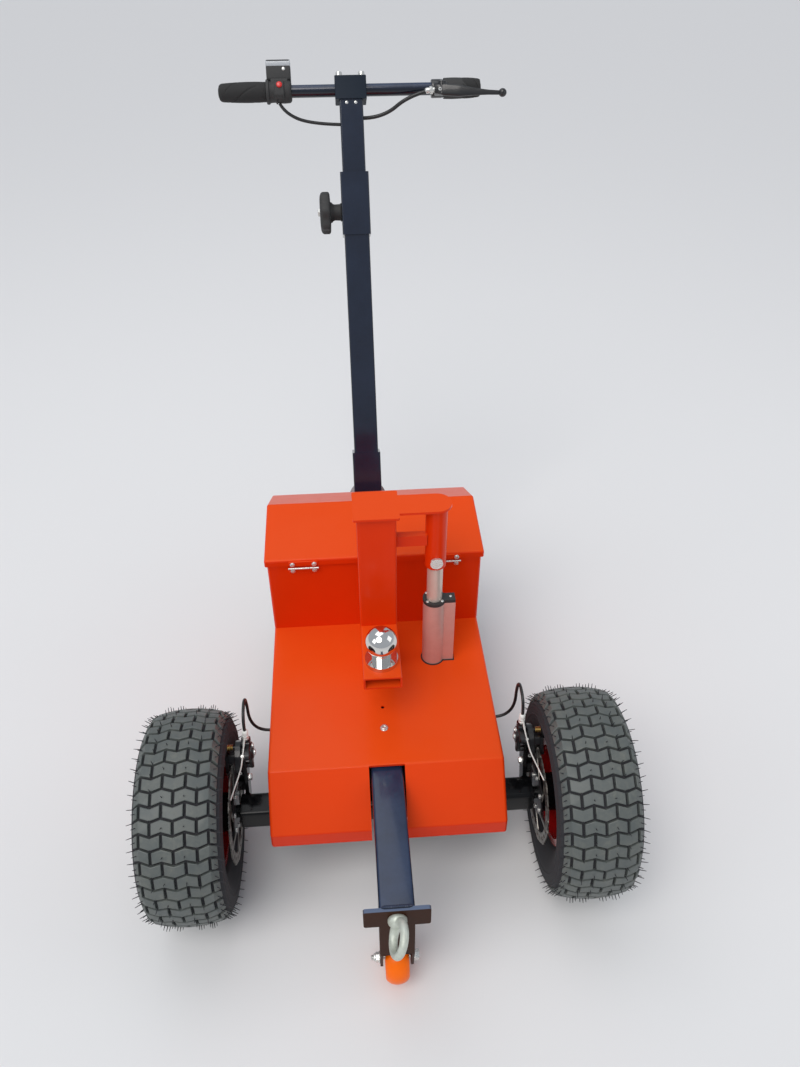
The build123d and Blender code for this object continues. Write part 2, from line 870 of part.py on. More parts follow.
# Rim outline from one edge to its middle: distance from the middle plane, radius
bead_x = rim_half_width - rim_flange
rim_outside = (
    (rim_half_width, rim_flange_radius),
    (bead_x + rim_flange / 4, rim_flange_radius),
    (bead_x, rim_bead_radius),
    (bead_x - bead_long, rim_bead_radius),
    (bead_x - bead_long - drop_run, rim_barrel_radius),
)
rim_inside = (
    (web_half, rim_barrel_radius - rim_wall),
    (bead_x - bead_long - drop_run + hole_gap, rim_barrel_radius - rim_wall),
    (bead_x - bead_long + hole_gap, rim_bead_radius - rim_wall),
    (rim_half_width, rim_bead_radius - rim_wall),
)
rim_hub = (
    (barrel_half, spindle_radius + running_fit),
    (barrel_half, barrel_radius),
    (web_half, hub_radius),
)
# Tyre: half its outline, its crown and the floor that the tread stands on
tyre_half = tyre_width / 2
side_room = tyre_radius - rim_flange_radius
floor_mid = tyre_radius - block_high
floor_edge = (tyre_half - floor_in, tyre_radius - floor_drop)
tyre_outside = (
    (bead_x, rim_flange_radius + flange_over),
    (tyre_half - low_side_in, rim_flange_radius + side_room * low_side_share),
    (tyre_half, rim_flange_radius + side_room * wide_share),
    floor_edge,
)
liner_half = tyre_half - liner_in
liner_radius = tyre_radius - liner_drop
bead_inside = (
    (bead_x - bead_thick, rim_flange_radius + flange_over + bead_thick / 2),
    (liner_half, liner_radius - bead_slope),
)
crown_radius = ((tyre_half - shoulder_in) ** 2 + shoulder_drop**2) / (2 * shoulder_drop)
block_long = 2 * pi * tyre_radius / tread_rows - row_gap
tread_half = tyre_half - tread_in
# Blocks of the two kinds of row in turn: places across the tyre of each block's ends and bends
block_rows = (
    ((-tread_half, -31.4, -1.6), (1.6, 31.4, tread_half)),
    ((-tread_half, -18.1), (-14.9, 14.9), (18.1, tread_half)),
)


def block_top(across):
    """Radius of a block's flat top, so that its ends reach the crown's arc."""
    crown = sqrt(crown_radius**2 - across**2) - crown_radius + tyre_radius
    return sqrt(crown**2 - (block_long / 2) ** 2)


def block_foot(across):
    """Radius just under the tread's floor."""
    return floor_mid - abs(across) * (floor_mid - floor_edge[1]) / floor_edge[0] - block_sink


def wheel_rings(wheel_x, steps, sides):
    """Polygons across the wheel, each at a place beside its middle plane with its flats at a radius."""
    rings = []
    for across, reach in steps:
        with BuildSketch(side_plane(wheel_x + across).shift_origin((wheel_x + across, station(0), axle_z))) as ring:
            RegularPolygon(reach, sides, major_radius=False, rotation=180 / sides)
        rings.append(ring.sketch)
    return rings


def turned(wheel_x, points, way=1):
    """Outline points of a wheel's half, set beside its middle plane."""
    return [(wheel_x + way * across, axle_z + radius) for across, radius in points]


# Wheels: tyre, rim, hub and brake disc
for side, tag in ((-1, "left"), (1, "right")):
    wheel_x = side * track_half
    wheel_axis = Axis((0, station(0), axle_z), (1, 0, 0))
    with BuildPart() as tyre_room:
        room = [(way * liner_half, liner_radius) for way in (-1, 1)]
        loft(wheel_rings(wheel_x, room, liner_sides), ruled=True)
        for way in (-1, 1):
            bead = [(way * across, reach) for across, reach in bead_inside]
            loft(wheel_rings(wheel_x, bead, liner_sides), ruled=True, mode=Mode.SUBTRACT)
        bore = [(way * bead_x, rim_bead_radius) for way in (-1, 1)]
        loft(wheel_rings(wheel_x, bore, liner_sides), ruled=True)
    with BuildPart() as tyre:
        near = [(-across, reach) for across, reach in tyre_outside]
        outside = (*near, (0, floor_mid), *reversed(tyre_outside))
        loft(wheel_rings(wheel_x, outside, tread_rows), ruled=True)
        add(tyre_room.part, mode=Mode.SUBTRACT)
        blocks = []
        for kind, spans in enumerate(block_rows):
            with BuildPart() as row:
                with BuildSketch(Plane(origin=(wheel_x, station(0), axle_z))):
                    for span in spans:
                        top = [(across, block_top(across)) for across in span]
                        foot = [(across, block_foot(across)) for across in (span[-1], span[0])]
                        with BuildLine():
                            Polyline(*top, *foot, close=True)
                        make_face()
                extrude(amount=block_long / 2, both=True)
            for number in range(kind, tread_rows, 2):
                turn = number * 360 / tread_rows
                blocks += [block.rotate(wheel_axis, turn) for block in row.part.solids()]
        add(blocks)
    save(tyre, "tyre_" + tag)
    with BuildPart() as rim:
        with BuildSketch(cross_plane(0)):
            with BuildLine():
                half = rim_hub + rim_inside + rim_outside
                near = turned(wheel_x, half, -1)
                far = turned(wheel_x, reversed(half))
                Polyline(*near, *far, close=True)
            make_face()
        revolve(axis=wheel_axis, revolution_arc=360)
    save(rim, "rim_" + tag)
    with BuildPart() as hub:
        with BuildSketch(side_plane(side * (disc_x + disc_thick / 2))):
            with Locations((station(0), axle_z)):
                Circle(hub_radius)
                Circle(spindle_radius + running_fit, mode=Mode.SUBTRACT)
        extrude(amount=side * (disc_to_tyre - barrel_half - disc_thick / 2))
    save(hub, "hub_" + tag)
    with BuildPart() as brake_disc:
        with BuildSketch(side_plane(side * (disc_x - disc_thick / 2))):
            with Locations((station(0), axle_z)):
                Circle(disc_radius)
                Circle(disc_radius - disc_ring, mode=Mode.SUBTRACT)
                Circle(hub_radius)
                with PolarLocations(0, disc_arm_count):
                    with Locations(((hub_radius + disc_radius - disc_ring) / 2, 0)):
                        Rectangle(disc_radius - disc_ring - hub_radius + 2 * disc_arm_lap, disc_arm)
                Circle(spindle_radius + disc_bore_gap, mode=Mode.SUBTRACT)
        extrude(amount=side * disc_thick)
    save(brake_disc, "brake_disc_" + tag)

# Caliper blocks: from and to along x beyond the disc, from and to out from the axle, length
bridge_low = disc_radius + disc_edge_gap
bridge_top = bridge_low + bridge_high
jaw_low = bridge_low - jaw_deep
jaw_long = 2 * bracket_half
caliper_blocks = (
    (-caliper_in, -caliper_gap, bridge_low, bridge_low + caliper_high, caliper_long),
    (-caliper_in, -caliper_gap, jaw_low, bridge_low, jaw_long),
    (-caliper_gap, caliper_gap, bridge_low, bridge_top, jaw_long),
    (caliper_gap, caliper_gap + jaw_thick, jaw_low, bridge_top, jaw_long),
)
stop_x = disc_x - caliper_in + bracket_in + bracket_thick / 2
stop_y, stop_z = caliper_point(bridge_low + caliper_high - stop_sink, 0)
stop_top = stop_z + stop_high
for side, tag in ((-1, "left"), (1, "right")):
    with BuildPart() as caliper:
        for x_from, x_to, low, high, length in caliper_blocks:
            with BuildSketch(caliper_plane(side * (disc_x + x_from))):
                with Locations(((low + high) / 2, 0)):
                    Rectangle(high - low, length)
            extrude(amount=side * (x_to - x_from))
        # Bracket from the axle tube up to the caliper
        with BuildSketch(side_plane(side * (stop_x - bracket_thick / 2))):
            with BuildLine():
                Polyline(
                    (station(axle_tube / 2), axle_z + axle_tube / 2),
                    (station(axle_tube / 2), axle_z - axle_tube / 2),
                    (station(axle_tube / 2 + bracket_foot), axle_z - axle_tube / 2),
                    caliper_point(jaw_low + bracket_lap, -bracket_half),
                    caliper_point(jaw_low + bracket_lap, bracket_half),
                    close=True,
                )
            make_face()
        extrude(amount=side * bracket_thick)
        # Cable stop
        with BuildSketch(Plane.XY.offset(stop_z)):
            with Locations((side * stop_x, stop_y)):
                Circle(stop_radius)
        extrude(amount=stop_high)
    save(caliper, "caliper_" + tag)
    with BuildPart() as brake_cable:
        with BuildLine() as run:
            FilletPolyline(
                (side * stop_x, stop_y, stop_top),
                (side * stop_x, stop_y, stop_top + cable_rise),
                (side * stop_x, station(cable_y), stop_top + cable_rise),
                (side * stop_x, station(cable_y), deck_z - cable_drop),
                (side * cover_half, station(cable_y), deck_z - cable_drop),
                radius=cable_bend,
            )
        with BuildSketch(Plane(origin=run.line @ 0, z_dir=run.line % 0)):
            Circle(cable_radius)
        sweep(path=run.line)
    save(brake_cable, "brake_cable_" + tag)

# Mast socket with its plate, and the round plate behind it
with BuildPart() as mast_socket:
    with BuildSketch(mast_plane(socket_low)):
        RectangleRounded(socket_side, socket_side, tube_corner)
        Rectangle(lower_side, lower_side, mode=Mode.SUBTRACT)
    extrude(amount=socket_top - socket_low)
    with BuildSketch(cross_plane(deck_rear)):
        with Locations((0, rail_low + pad_high)):
            Rectangle(foot_plate_wide, foot_plate_high)
    extrude(amount=-foot_plate_thick)
save(mast_socket, "mast_socket")
with BuildPart() as mast_disc:
    with BuildSketch(
        Plane(
            origin=mast_point(round_plate_s, socket_side / 2),
            x_dir=(1, 0, 0),
            z_dir=(0, cos(radians(lean)), -sin(radians(lean))),
        )
    ):
        Circle(round_plate_radius)
    extrude(amount=round_plate_thick)
save(mast_disc, "mast_disc")

# Lower mast with its collar, and the clamp knob
with BuildPart() as lower_mast:
    with BuildSketch(mast_plane(lower_end)):
        Rectangle(lower_side, lower_side)
    extrude(amount=socket_top - lower_end)
    with BuildSketch(mast_plane(socket_top)):
        RectangleRounded(lower_side, lower_side, tube_corner)
    extrude(amount=collar_top - socket_top)
    with BuildSketch(mast_plane(collar_low)):
        RectangleRounded(collar_side, collar_side, tube_corner)
    extrude(amount=collar_top - collar_low)
    with BuildSketch(mast_plane(lower_end - overrun)):
        Rectangle(lower_side - 2 * lower_wall, lower_side - 2 * lower_wall)
    extrude(amount=collar_top - lower_end + 2 * overrun, mode=Mode.SUBTRACT)
save(lower_mast, "lower_mast")
stem_plane = Plane(origin=mast_point(knob_s, 0, -collar_side / 2), x_dir=(0, 1, 0), z_dir=(-1, 0, 0))
with BuildPart() as clamp_knob:
    with BuildSketch(stem_plane):
        Circle(stem_radius)
    extrude(amount=stem_long)
    with BuildSketch(stem_plane.offset(stem_long)):
        Circle(knob_radius - knob_lobe + knob_dip)
        with PolarLocations(knob_radius - knob_lobe, knob_lobes):
            Circle(knob_lobe)
    extrude(amount=knob_thick)
save(clamp_knob, "clamp_knob")

# Upper mast with the bar clamp
with BuildPart() as upper_mast:
    with BuildSketch(mast_plane(upper_low)):
        RectangleRounded(upper_side, upper_side, tube_corner)
        Rectangle(upper_side - 2 * upper_wall, upper_side - 2 * upper_wall, mode=Mode.SUBTRACT)
    extrude(amount=bar_s - clamp_high / 2 - upper_low)
    with BuildSketch(mast_plane(bar_s - clamp_high / 2)):
        RectangleRounded(2 * clamp_half, clamp_deep, tube_corner)
    extrude(amount=clamp_high)
    with BuildSketch(bar_plane(0)):
        Circle(bar_radius)
    extrude(amount=clamp_half + overrun, both=True, mode=Mode.SUBTRACT)
save(upper_mast, "upper_mast")

# Handlebar
with BuildPart() as handlebar:
    with BuildSketch(bar_plane(0)):
        Circle(bar_radius)
        Circle(bar_radius - bar_wall, mode=Mode.SUBTRACT)
    extrude(amount=bar_half, both=True)
save(handlebar, "handlebar")

# Grips over the bar's ends: name, end, length, radius
grip_end = bar_half + grip_over
grips = (
    ("throttle_grip", -1, left_grip_long, left_grip_radius),
    ("right_grip", 1, right_grip_long, right_grip_radius),
)
for name, side, length, radius in grips:
    with BuildPart() as grip:
        with BuildSketch(bar_plane(side * grip_end)):
            Circle(radius)
        extrude(amount=-side * length)
        with BuildSketch(bar_plane(0)):
            Circle(bar_radius)
        extrude(amount=bar_half, both=True, mode=Mode.SUBTRACT)
    save(grip, name)

# Throttle housing with its gauge
housing_x = -(grip_end - left_grip_long - grip_gap)
with BuildPart() as throttle_housing:
    with BuildSketch(bar_plane(housing_x)):
        Circle(housing_radius)
        Circle(bar_radius, mode=Mode.SUBTRACT)
    extrude(amount=housing_long)
    with BuildSketch(bar_plane(housing_x + housing_long - gauge_in)):
        with Locations((0, gauge_low + gauge_high / 2)):
            RectangleRounded(gauge_deep, gauge_high, gauge_round)
    extrude(amount=-gauge_wide)
save(throttle_housing, "throttle_housing")

# Brake lever: ring on the bar, blade swept forward, ball at its end
lever_x = grip_end - right_grip_long - grip_gap - lever_long
lever_tip = mast_point(bar_s, 0, lever_x + lever_reach - lever_ball_radius / 2)
with BuildPart() as brake_lever:
    with BuildSketch(bar_plane(lever_x)):
        Circle(lever_radius)
        Circle(bar_radius, mode=Mode.SUBTRACT)
    extrude(amount=lever_long)
    blade_plane = Plane(origin=mast_point(bar_s, 0, lever_x), x_dir=(1, 0, 0), z_dir=(0, 0, 1))
    with BuildSketch(blade_plane.offset(-lever_thick / 2)):
        with BuildLine():
            Polyline(
                *[(out * lever_reach, -ahead * lever_sweep) for out, ahead in lever_blade_shares],
                close=True,
            )
        make_face()
    extrude(amount=lever_thick)
    with Locations((lever_tip[0], lever_tip[1] - lever_sweep, lever_tip[2])):
        Sphere(lever_ball_radius)
save(brake_lever, "brake_lever")

# Control cables: name, radius, points as x, distance off the mast, distance up the mast
wire_x = housing_x + housing_long / 2
wire_top = bar_s - housing_radius
mast_side = upper_side / 2
control_bend = 10.0
cables = (
    ("throttle_wires", 3.0, ((wire_x, 0, wire_top), (wire_x, 0, 785), (-80, 8, 762), (-mast_side, 8, 762))),
    ("lever_cables", 3.5, ((lever_x, -22, 822), (110, -22, 815), (60, 4, 782), (mast_side, 4, 782))),
)
for name, radius, points in cables:
    with BuildPart() as cable:
        with BuildLine() as run:
            FilletPolyline(*[mast_point(s, off, x) for x, off, s in points], radius=control_bend)
        with BuildSketch(Plane(origin=run.line @ 0, z_dir=run.line % 0)):
            Circle(radius)
        sweep(path=run.line)
    save(cable, name)

# Rear caster: plate with its kingpin, yoke with its axle, wheel
caster_y = kingpin_y - caster_trail
with BuildPart() as caster_plate:
    with BuildSketch(Plane.XY.offset(caster_head - caster_plate_thick)):
        with Locations((0, station(kingpin_y))):
            Rectangle(caster_plate_wide, caster_plate_deep)
    extrude(amount=caster_plate_thick)
    with BuildSketch(Plane.XY.offset(caster_head - caster_plate_thick - kingpin_long)):
        with Locations((0, station(kingpin_y))):
            Circle(kingpin_radius)
    extrude(amount=kingpin_long)
save(caster_plate, "caster_plate")
yoke_top = caster_head - caster_plate_thick - yoke_gap
with BuildPart() as caster_fork:
    with BuildSketch(Plane.XY.offset(yoke_top - yoke_thick)):
        with Locations((0, station(kingpin_y))):
            Circle(yoke_radius)
            Circle(kingpin_radius + running_fit, mode=Mode.SUBTRACT)
    extrude(amount=yoke_thick)
    for side in (-1, 1):
        with BuildSketch(side_plane(side * leg_inner)):
            with BuildLine():
                Polyline(
                    (station(kingpin_y - leg_top_half), yoke_top - yoke_thick + leg_lap),
                    (station(kingpin_y + leg_top_half), yoke_top - yoke_thick + leg_lap),
                    (station(caster_y + leg_low_half), caster_wheel_radius - leg_past),
                    (station(caster_y - leg_low_half), caster_wheel_radius - leg_past),
                    close=True,
                )
            make_face()
        extrude(amount=side * leg_thick)
    with BuildSketch(side_plane(0)):
        with Locations((station(caster_y), caster_wheel_radius)):
            Circle(caster_pin_radius)
    extrude(amount=leg_inner + leg_thick + caster_pin_past, both=True)
save(caster_fork, "caster_fork")
with BuildPart() as caster_wheel:
    bore = caster_pin_radius + running_fit
    with BuildSketch(cross_plane(caster_y)):
        with Locations((0, caster_wheel_radius + (caster_wheel_radius + bore) / 2)):
            RectangleRounded(2 * caster_wheel_half, caster_wheel_radius - bore, caster_wheel_round)
    revolve(
        axis=Axis((0, station(caster_y), caster_wheel_radius), (1, 0, 0)),
        revolution_arc=360,
    )
save(caster_wheel, "caster_wheel")
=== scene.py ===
"""Electric trailer dolly: real surfaces, finishes, small hardware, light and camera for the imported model."""
from math import cos, pi, radians, sin

import bpy
import numpy as np
from bpy.props import FloatProperty, FloatVectorProperty, IntProperty, PointerProperty
from mathutils import Matrix, Vector


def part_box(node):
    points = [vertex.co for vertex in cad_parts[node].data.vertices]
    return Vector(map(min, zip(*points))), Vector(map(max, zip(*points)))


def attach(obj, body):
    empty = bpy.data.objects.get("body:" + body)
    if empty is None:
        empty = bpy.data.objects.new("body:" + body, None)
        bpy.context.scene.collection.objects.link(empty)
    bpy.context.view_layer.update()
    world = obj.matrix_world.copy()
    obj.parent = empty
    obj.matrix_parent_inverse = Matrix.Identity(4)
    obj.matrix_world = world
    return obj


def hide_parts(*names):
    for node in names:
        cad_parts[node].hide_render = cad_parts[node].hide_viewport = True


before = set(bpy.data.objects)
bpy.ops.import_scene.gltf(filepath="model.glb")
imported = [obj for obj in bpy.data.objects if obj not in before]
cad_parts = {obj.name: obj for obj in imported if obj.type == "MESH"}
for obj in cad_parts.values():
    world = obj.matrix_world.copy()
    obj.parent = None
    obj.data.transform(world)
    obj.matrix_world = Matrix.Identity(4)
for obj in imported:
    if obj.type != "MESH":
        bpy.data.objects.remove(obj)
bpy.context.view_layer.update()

bl_info = {
    "name": "Electric trailer dolly",
    "version": (1, 0, 0),
    "blender": (4, 5, 0),
    "location": "3D View > Sidebar > Dolly",
    "description": "Turf tyres, brakes, cables, controls, hardware and finishes of a trailer dolly",
    "category": "Add Mesh",
}

MM = 0.001
SIDES = ((-1, "left"), (1, "right"))
ACROSS, BACK, UP = np.eye(3)


# Places on the machine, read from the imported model, in metres


def span(node):
    """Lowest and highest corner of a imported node, as arrays."""
    low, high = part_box(node)
    return np.array(low, float), np.array(high, float)


def middle(node):
    """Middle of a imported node's box."""
    low, high = span(node)
    return (low + high) / 2


AXLE = middle("rim_right") * (0, 1, 1)
TRACK = middle("tyre_right")[0]
DISC_X = middle("brake_disc_right")[0]
DECK_Z = span("battery_box")[0][2]
COVER_SIDE, COVER_REAR = span("deck_cover")[1][:2]
LEAN = radians(27)
UP_MAST = sin(LEAN) * BACK + cos(LEAN) * UP
OFF_MAST = cos(LEAN) * BACK - sin(LEAN) * UP
MAST_FOOT = np.array((0.0, AXLE[1] + 622 * MM, DECK_Z))
BAR_UP = 830


def on_mast(up, off=0.0, across=0.0):
    """Point so many millimetres up the leaning mast, off its rear side and across it."""
    return MAST_FOOT + MM * (up * UP_MAST + off * OFF_MAST + across * ACROSS)


def bar_point(x, off, up):
    """Point near the handlebar at x, off it to the rear and up the mast, in millimetres."""
    return on_mast(BAR_UP + up, off, x)


BAR = on_mast(BAR_UP)


# Surfaces as whole arrays. Outlines, profiles, steps and sizes are in millimetres, and places are in metres


def unit(vector):
    """The vector, or each vector of an array, made one long."""
    vector = np.asarray(vector, float)
    return vector / np.linalg.norm(vector, axis=-1, keepdims=True)


def cross_axes(direction, hint=None):
    """Two directions square to the given one and to each other, the second nearest to the hint."""
    w = unit(direction)
    if hint is None:
        hint = UP if abs(w[2]) < 0.9 else BACK
    u = unit(np.cross(hint, w))
    return u, np.cross(w, u)


def even_turn(count):
    """Even angles round a full turn."""
    return np.linspace(0, 2 * pi, count, endpoint=False)


def circle(radius, count):
    """Points at even angles about the origin, at one radius or at one for each angle."""
    turn = even_turn(count)
    return np.reshape(radius, (-1, 1)) * np.column_stack((np.cos(turn), np.sin(turn)))


def hexagon(flats):
    """Hexagon of a width across flats: the flat's distance over the cosine of the angle off it."""
    off = (even_turn(24) + pi / 6) % (pi / 3) - pi / 6
    return circle(flats / 2 / np.cos(off), 24)


def rounded(width, height, radius, steps=5):
    """Rectangle with round corners: four quarter circles, each set in from its corner by the radius."""
    turn = (np.arange(4)[:, None] * pi / 2 + np.linspace(0, pi / 2, steps)).ravel()
    corner = np.repeat(((1, 1), (-1, 1), (-1, -1), (1, -1)), steps, axis=0)
    centre = corner * (width / 2 - radius, height / 2 - radius)
    return centre + radius * np.column_stack((np.cos(turn), np.sin(turn)))


def softened(corners, radius, steps=4):
    """Closed outline whose corners are parabolas between points set back from the corner along both sides."""
    corners = np.asarray(corners, float)
    before = unit(np.roll(corners, 1, axis=0) - corners)[:, None]
    after = unit(np.roll(corners, -1, axis=0) - corners)[:, None]
    t = np.linspace(0, 1, steps)[None, :, None]
    return (corners[:, None] + radius * ((1 - t) ** 2 * before + t**2 * after)).reshape(-1, 2)


def drawn_in(outline, inset):
    """Outline moved in: each point goes along its sides' mean normal by the inset over their cosine."""
    side = unit(np.roll(outline, -1, axis=0) - outline)
    normal = np.column_stack((-side[:, 1], side[:, 0]))
    other = np.roll(normal, 1, axis=0)
    share = 1 + np.sum(normal * other, axis=1, keepdims=True)
    return outline + inset * (normal + other) / np.maximum(share, 0.4)


def chamfered(low, high, cut):
    """Steps of a prism from low to high with its edges cut at both ends."""
    return ((low, cut), (low + cut, 0), (high - cut, 0), (high, cut))


def cells(rows, columns, loop, ring):
    """Corner numbers of the grid's cells, one quad each; the rows and columns may close on themselves."""
    r = np.arange(rows if loop else rows - 1)[:, None]
    c = np.arange(columns if ring else columns - 1)[None, :]
    down, over = (r + 1) % rows, (c + 1) % columns
    corners = np.broadcast_arrays(r * columns + c, r * columns + over, down * columns + over, down * columns + c)
    return np.stack(corners, axis=-1).reshape(-1, 4)


def skin(grid, loop=False):
    """Closed skin over rings of points, its ends shut by a face each unless the rows loop, turned outwards."""
    rows, columns = grid.shape[:2]
    points = grid.reshape(-1, 3)
    quads = cells(rows, columns, loop, True)
    a, b, c, d = (points[quads[:, k]] for k in range(4))
    volume = np.sum(a * np.cross(b, c)) + np.sum(a * np.cross(c, d))
    caps = []
    if not loop:
        caps = [np.arange(columns)[::-1], np.arange(columns) + (rows - 1) * columns]
        for cap in caps:
            volume += np.sum(points[cap[0]] * np.cross(points[cap[1:-1]], points[cap[2:]]))
    way = -1 if volume < 0 else 1
    return points, quads[:, ::way].tolist() + [cap[::way].tolist() for cap in caps]


def stacked(rings, origin, axis, first, second, loop=False):
    """Skin over flat rings: each (distance, outline) pair lies that far along the axis, square to it."""
    grid = [origin + MM * (along * axis + flat[:, :1] * first + flat[:, 1:] * second) for along, flat in rings]
    return skin(np.stack(grid), loop)


def prism(outline, steps, origin, axis, first=None, second=None):
    """Outline carried straight along its axis through (distance, inset) steps, drawn in at each."""
    if first is None:
        first, second = cross_axes(axis)
    outline = np.asarray(outline, float)
    x, y = outline.T
    if np.sum(x * np.roll(y, -1) - y * np.roll(x, -1)) < 0:
        outline = outline[::-1]
    return stacked([(along, drawn_in(outline, inset)) for along, inset in steps], origin, axis, first, second)


def spun(profile, centre, axis, count=48, loop=False, hint=None):
    """Surface of revolution: (along, out) pairs at centre + along * axis + out * (cos a, sin a) round it."""
    along, out = MM * np.asarray(profile, float).T[:, :, None, None]
    u, v = cross_axes(axis, hint)
    turn = even_turn(count)[None, :, None]
    return skin(centre + along * unit(axis) + out * (np.cos(turn) * u + np.sin(turn) * v), loop)


def carried(path, outline, up, scale=1.0, loop=False):
    """Outline carried along a path: path + x * side + y * top, with side square to the run and to up."""
    run = unit(np.roll(path, -1, axis=0) - np.roll(path, 1, axis=0) if loop else np.gradient(path, axis=0))
    side = unit(np.cross(run, up))
    top = np.cross(side, run)
    flat = MM * np.reshape(scale, (-1, 1, 1)) * outline
    return skin(path[:, None] + flat[..., :1] * side[:, None] + flat[..., 1:] * top[:, None], loop)


def make(name, body, shells, finish, stands_for=(), sharp=35):
    """Put shells into one mesh, ride it on its body and give it its finish."""
    starts = np.cumsum([0] + [len(points) for points, faces in shells]).tolist()
    faces = [[k + start for k in face] for (points, group), start in zip(shells, starts) for face in group]
    mesh = bpy.data.meshes.new(name)
    mesh.from_pydata(np.vstack([points for points, group in shells]), [], faces)
    mesh.polygons.foreach_set("use_smooth", np.ones(len(mesh.polygons), bool))
    mesh.set_sharp_from_angle(angle=radians(sharp))
    mesh.update()
    place_piece(name, mesh, body, finish, stands_for)


def place_piece(name, data, body, finish, stands_for):
    """Show a mesh or curve in its finish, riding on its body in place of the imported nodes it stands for."""
    data.materials.append(material_of(finish))
    piece = bpy.data.objects.new(name, data)
    bpy.context.scene.collection.objects.link(piece)
    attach(piece, body)
    if stands_for:
        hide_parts(*stands_for)
    return piece


# Fasteners


def hex_head(centre, direction, flats, high):
    """Hexagon head with its outer corners cut."""
    return prism(hexagon(flats), ((0, 0), (high * 0.78, 0), (high, flats * 0.07)), centre, direction)


def washer(centre, direction, outer, thick):
    """Disc with small edge chamfers."""
    edge = thick * 0.25
    steps = ((0, outer - edge), (edge, outer), (thick - edge, outer), (thick, outer - edge))
    return spun(steps, centre, direction, 32)


def thread(centre, direction, radius, long):
    """Threaded stub: radius falls and rises as a triangle wave along the axis, with a cut tip."""
    count = 8
    out = radius - 0.4 * (np.arange(count) % 2)
    out[-1] = radius * 0.75
    return spun(np.column_stack((np.linspace(0, long, count), out)), centre, direction, 20)


def socket_screw(centre, direction, radius, high):
    """Round head with a hexagon socket: rings go up the side, over the edge and down into the socket."""
    rim, hollow = circle(radius, 24), hexagon(radius * 0.95)
    rings = (
        (0, rim),
        (high * 0.85, rim),
        (high, rim * 0.88),
        (high, hollow * 1.06),
        (high * 0.95, hollow),
        (high * 0.4, hollow),
    )
    return stacked(rings, centre, unit(direction), *cross_axes(direction))


def pan_screw(centre, direction, radius, high):
    """Pan head: a low dome that falls away towards its edge."""
    dome = np.array(((0, 1), (0.42, 1), (0.72, 0.93), (0.9, 0.78), (1, 0.5), (1, 0.12)))
    return spun(dome * (high, radius), centre, direction, 24)


def weld_bead(start, end, face, width=5):
    """Weld along a straight joint: a half round whose size swells once every ripple, as laid drops do."""
    start, end = np.asarray(start, float), np.asarray(end, float)
    long = np.linalg.norm(end - start) / MM
    ripple, step = 2.6, 0.65
    t = np.linspace(0, 1, max(int(long / step), 6))
    swell = 1 + 0.13 * np.cos(2 * pi * t * long / ripple)
    ends = np.clip(np.minimum(t, 1 - t) * long / width, 0.05, 1) ** 0.5
    return carried(start + t[:, None] * (end - start), circle(width / 2, 10), face, swell * ends)


# Finishes: three shared node groups, then a row of values for each finish


def linear(colour):
    """Colour as linear light, from a setting's name, screen values of 0 to 255, or four linear values."""
    if isinstance(colour, str):
        return (*getattr(bpy.context.scene.dolly_colours, colour), 1.0)
    if len(colour) == 4:
        return colour
    share = np.array(colour) / 255
    value = np.where(share < 0.04045, share / 12.92, ((share + 0.055) / 1.055) ** 2.4)
    return (*value.tolist(), 1.0)


class Film:
    """Node group that makes colour, roughness and height from a position; each helper adds one node to it."""

    def __init__(self, name, inputs):
        self.tree = bpy.data.node_groups.new(name, "ShaderNodeTree")
        kinds = {3: "NodeSocketVector", 4: "NodeSocketColor"}
        for label, value in {"Position": (0, 0, 0), **inputs}.items():
            kind = kinds.get(np.size(value), "NodeSocketFloat")
            self.tree.interface.new_socket(name=label, in_out="INPUT", socket_type=kind).default_value = value
        for label, kind in (("Colour", "Color"), ("Roughness", "Float"), ("Height", "Float")):
            self.tree.interface.new_socket(name=label, in_out="OUTPUT", socket_type="NodeSocket" + kind)
        self.given = self.tree.nodes.new("NodeGroupInput").outputs
        self.results = self.tree.nodes.new("NodeGroupOutput").inputs

    def feed(self, socket, value):
        """Link a node's output to a socket, or set a plain value on it."""
        if isinstance(value, bpy.types.NodeSocket):
            self.tree.links.new(value, socket)
        else:
            socket.default_value = value

    def add(self, kind, output, inputs, **settings):
        """One node with its settings and inputs, as the output asked for."""
        node = self.tree.nodes.new("ShaderNode" + kind)
        for label, value in settings.items():
            setattr(node, label, value)
        for label, value in inputs.items():
            self.feed(node.inputs[label], value)
        return node.outputs[output]

    def noise(self, scale, detail=3.0, rough=0.5, distort=0.0, where=None):
        """Noise value at the position or another place, at a scale in cycles a metre."""
        labels = ("Vector", "Scale", "Detail", "Roughness", "Distortion")
        values = (where or self.given["Position"], scale, detail, rough, distort)
        return self.add("TexNoise", "Fac", dict(zip(labels, values)))

    def times(self, first, second):
        """Product of two values."""
        return self.add("Math", 0, {0: first, 1: second}, operation="MULTIPLY")

    def plus(self, first, second):
        """Sum of two values."""
        return self.add("Math", 0, {0: first, 1: second}, operation="ADD")

    def ranged(self, value, low, high, to_low=0.0, to_high=1.0):
        """Value carried from one range to another and held inside it."""
        labels = ("Value", "From Min", "From Max", "To Min", "To Max")
        return self.add("MapRange", "Result", dict(zip(labels, (value, low, high, to_low, to_high))))

    def blended(self, share, first, second):
        """Colour between two colours."""
        return self.add("Mix", 2, {"Factor": share, 6: first, 7: second}, data_type="RGBA")

    def facing_up(self):
        """How far the surface faces upwards, 0 to 1."""
        normal = self.add("NewGeometry", "Normal", {})
        return self.ranged(self.add("SeparateXYZ", "Z", {0: normal}), 0.3, 0.95)

    def give(self, *values):
        """Feed the group's three results and return its tree."""
        for label, value in zip(("Colour", "Roughness", "Height"), values):
            self.feed(self.results[label], value)
        return self.tree


GREY = (0.5, 0.5, 0.5, 1.0)


